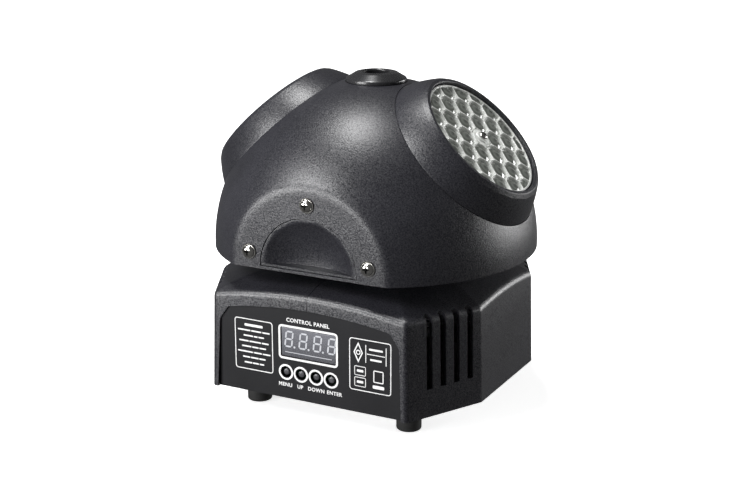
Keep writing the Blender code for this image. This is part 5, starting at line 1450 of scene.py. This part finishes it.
makeDome()
makeInserts()
makeHousingScrews()
makeCap()
makeTurntable()
print("head shell made")
honeycomb = honeycombTree()
for side, hand in ((-1, "Left"), (1, "Right")):
    makeBarrel(side, hand)
    makeLens(side, hand, honeycomb)
print("lens barrels made")


# ---- finishes of the CAD nodes that still show

slotOfNode = {part["node"]: part.get("material_slot") for part in frame["record"]["subparts"]}
for name, node in frame["nodes"].items():
    finish = materials[slotOfNode[name]]
    node.data.materials.clear()
    node.data.materials.append(finish)
print("inner pieces finished")


# ---- floor, lights and camera

def makeFloor():
    shape = bmesh.new()
    bmesh.ops.create_grid(shape, x_segments=1, y_segments=1, size=6.0)
    floor = shapeItem("floor", shape)
    material, tree, shader, place = startMaterial("floorPaper", {"specular": 0.1})
    tone = put(tree, "ShaderNodeTexNoise", {"Vector": place, "Scale": 3.0}).outputs["Fac"]
    colour = colourRamp(tree, tone, ((0.3, (0.93, 0.93, 0.93)), (0.7, (0.95, 0.95, 0.95))))
    tree.links.new(colour, shader.inputs["Base Color"])
    shader.inputs["Roughness"].default_value = 0.9
    tree.links.new(colour, shader.inputs["Emission Color"])
    shader.inputs["Emission Strength"].default_value = 0.8
    floor.data.materials.append(material)
    floor.visible_glossy = False
    floor.visible_diffuse = False


skyStrength = 0.12
lights = {
    "overhead": {"kind": "SUN", "energy": 2.6, "spread": 14.0, "from": (-0.22, 0.03, 0.97)},
    "frontHigh": {"kind": "AREA", "energy": 15.0, "size": (0.55, 0.40), "from": (-0.55, -0.84, 0.84)},
    "frontLow": {"kind": "AREA", "energy": 19.0, "size": (0.90, 0.30), "from": (-0.70, -1.20, 0.17)},
    "rearRight": {"kind": "AREA", "energy": 12.0, "size": (1.00, 0.40), "from": (0.88, 0.95, 0.22)},
}


def makeLights():
    middle = (cadBox[0] + cadBox[1]) / 2
    for name, light in lights.items():
        data = bpy.data.lights.new(name, light["kind"])
        data.energy = light["energy"]
        lamp = bpy.data.objects.new(name, data)
        bpy.context.scene.collection.objects.link(lamp)
        start = Vector(light["from"])
        if light["kind"] == "SUN":
            data.angle = math.radians(light["spread"])
            aim = -start
        else:
            data.shape = "RECTANGLE"
            data.size, data.size_y = light["size"]
            aim = middle - start
        lamp.location = start
        lamp.rotation_euler = aim.to_track_quat("-Z", "Y").to_euler()
    world = bpy.data.worlds.new("studio")
    bpy.context.scene.world = world
    world.use_nodes = True
    sky = world.node_tree.nodes["Background"]
    sky.inputs["Color"].default_value = (1.0, 1.0, 1.0, 1.0)
    sky.inputs["Strength"].default_value = skyStrength


view = {"lens": 72.7, "place": (0.3579, -0.6917, 0.3053), "pitch": 73.56, "heading": 27.41}


def makeCamera():
    data = bpy.data.cameras.new("camera")
    data.lens = view["lens"]
    data.sensor_width = 36.0
    data.clip_start = 0.02
    camera = bpy.data.objects.new("camera", data)
    bpy.context.scene.collection.objects.link(camera)
    camera.location = view["place"]
    camera.rotation_euler = (math.radians(view["pitch"]), 0.0, math.radians(view["heading"]))
    bpy.context.scene.camera = camera


makeFloor()
makeLights()
makeCamera()
bpy.context.scene.view_settings.view_transform = "Standard"

print("cad box", [[round(v * 1000, 2) for v in c] for c in cadBox])
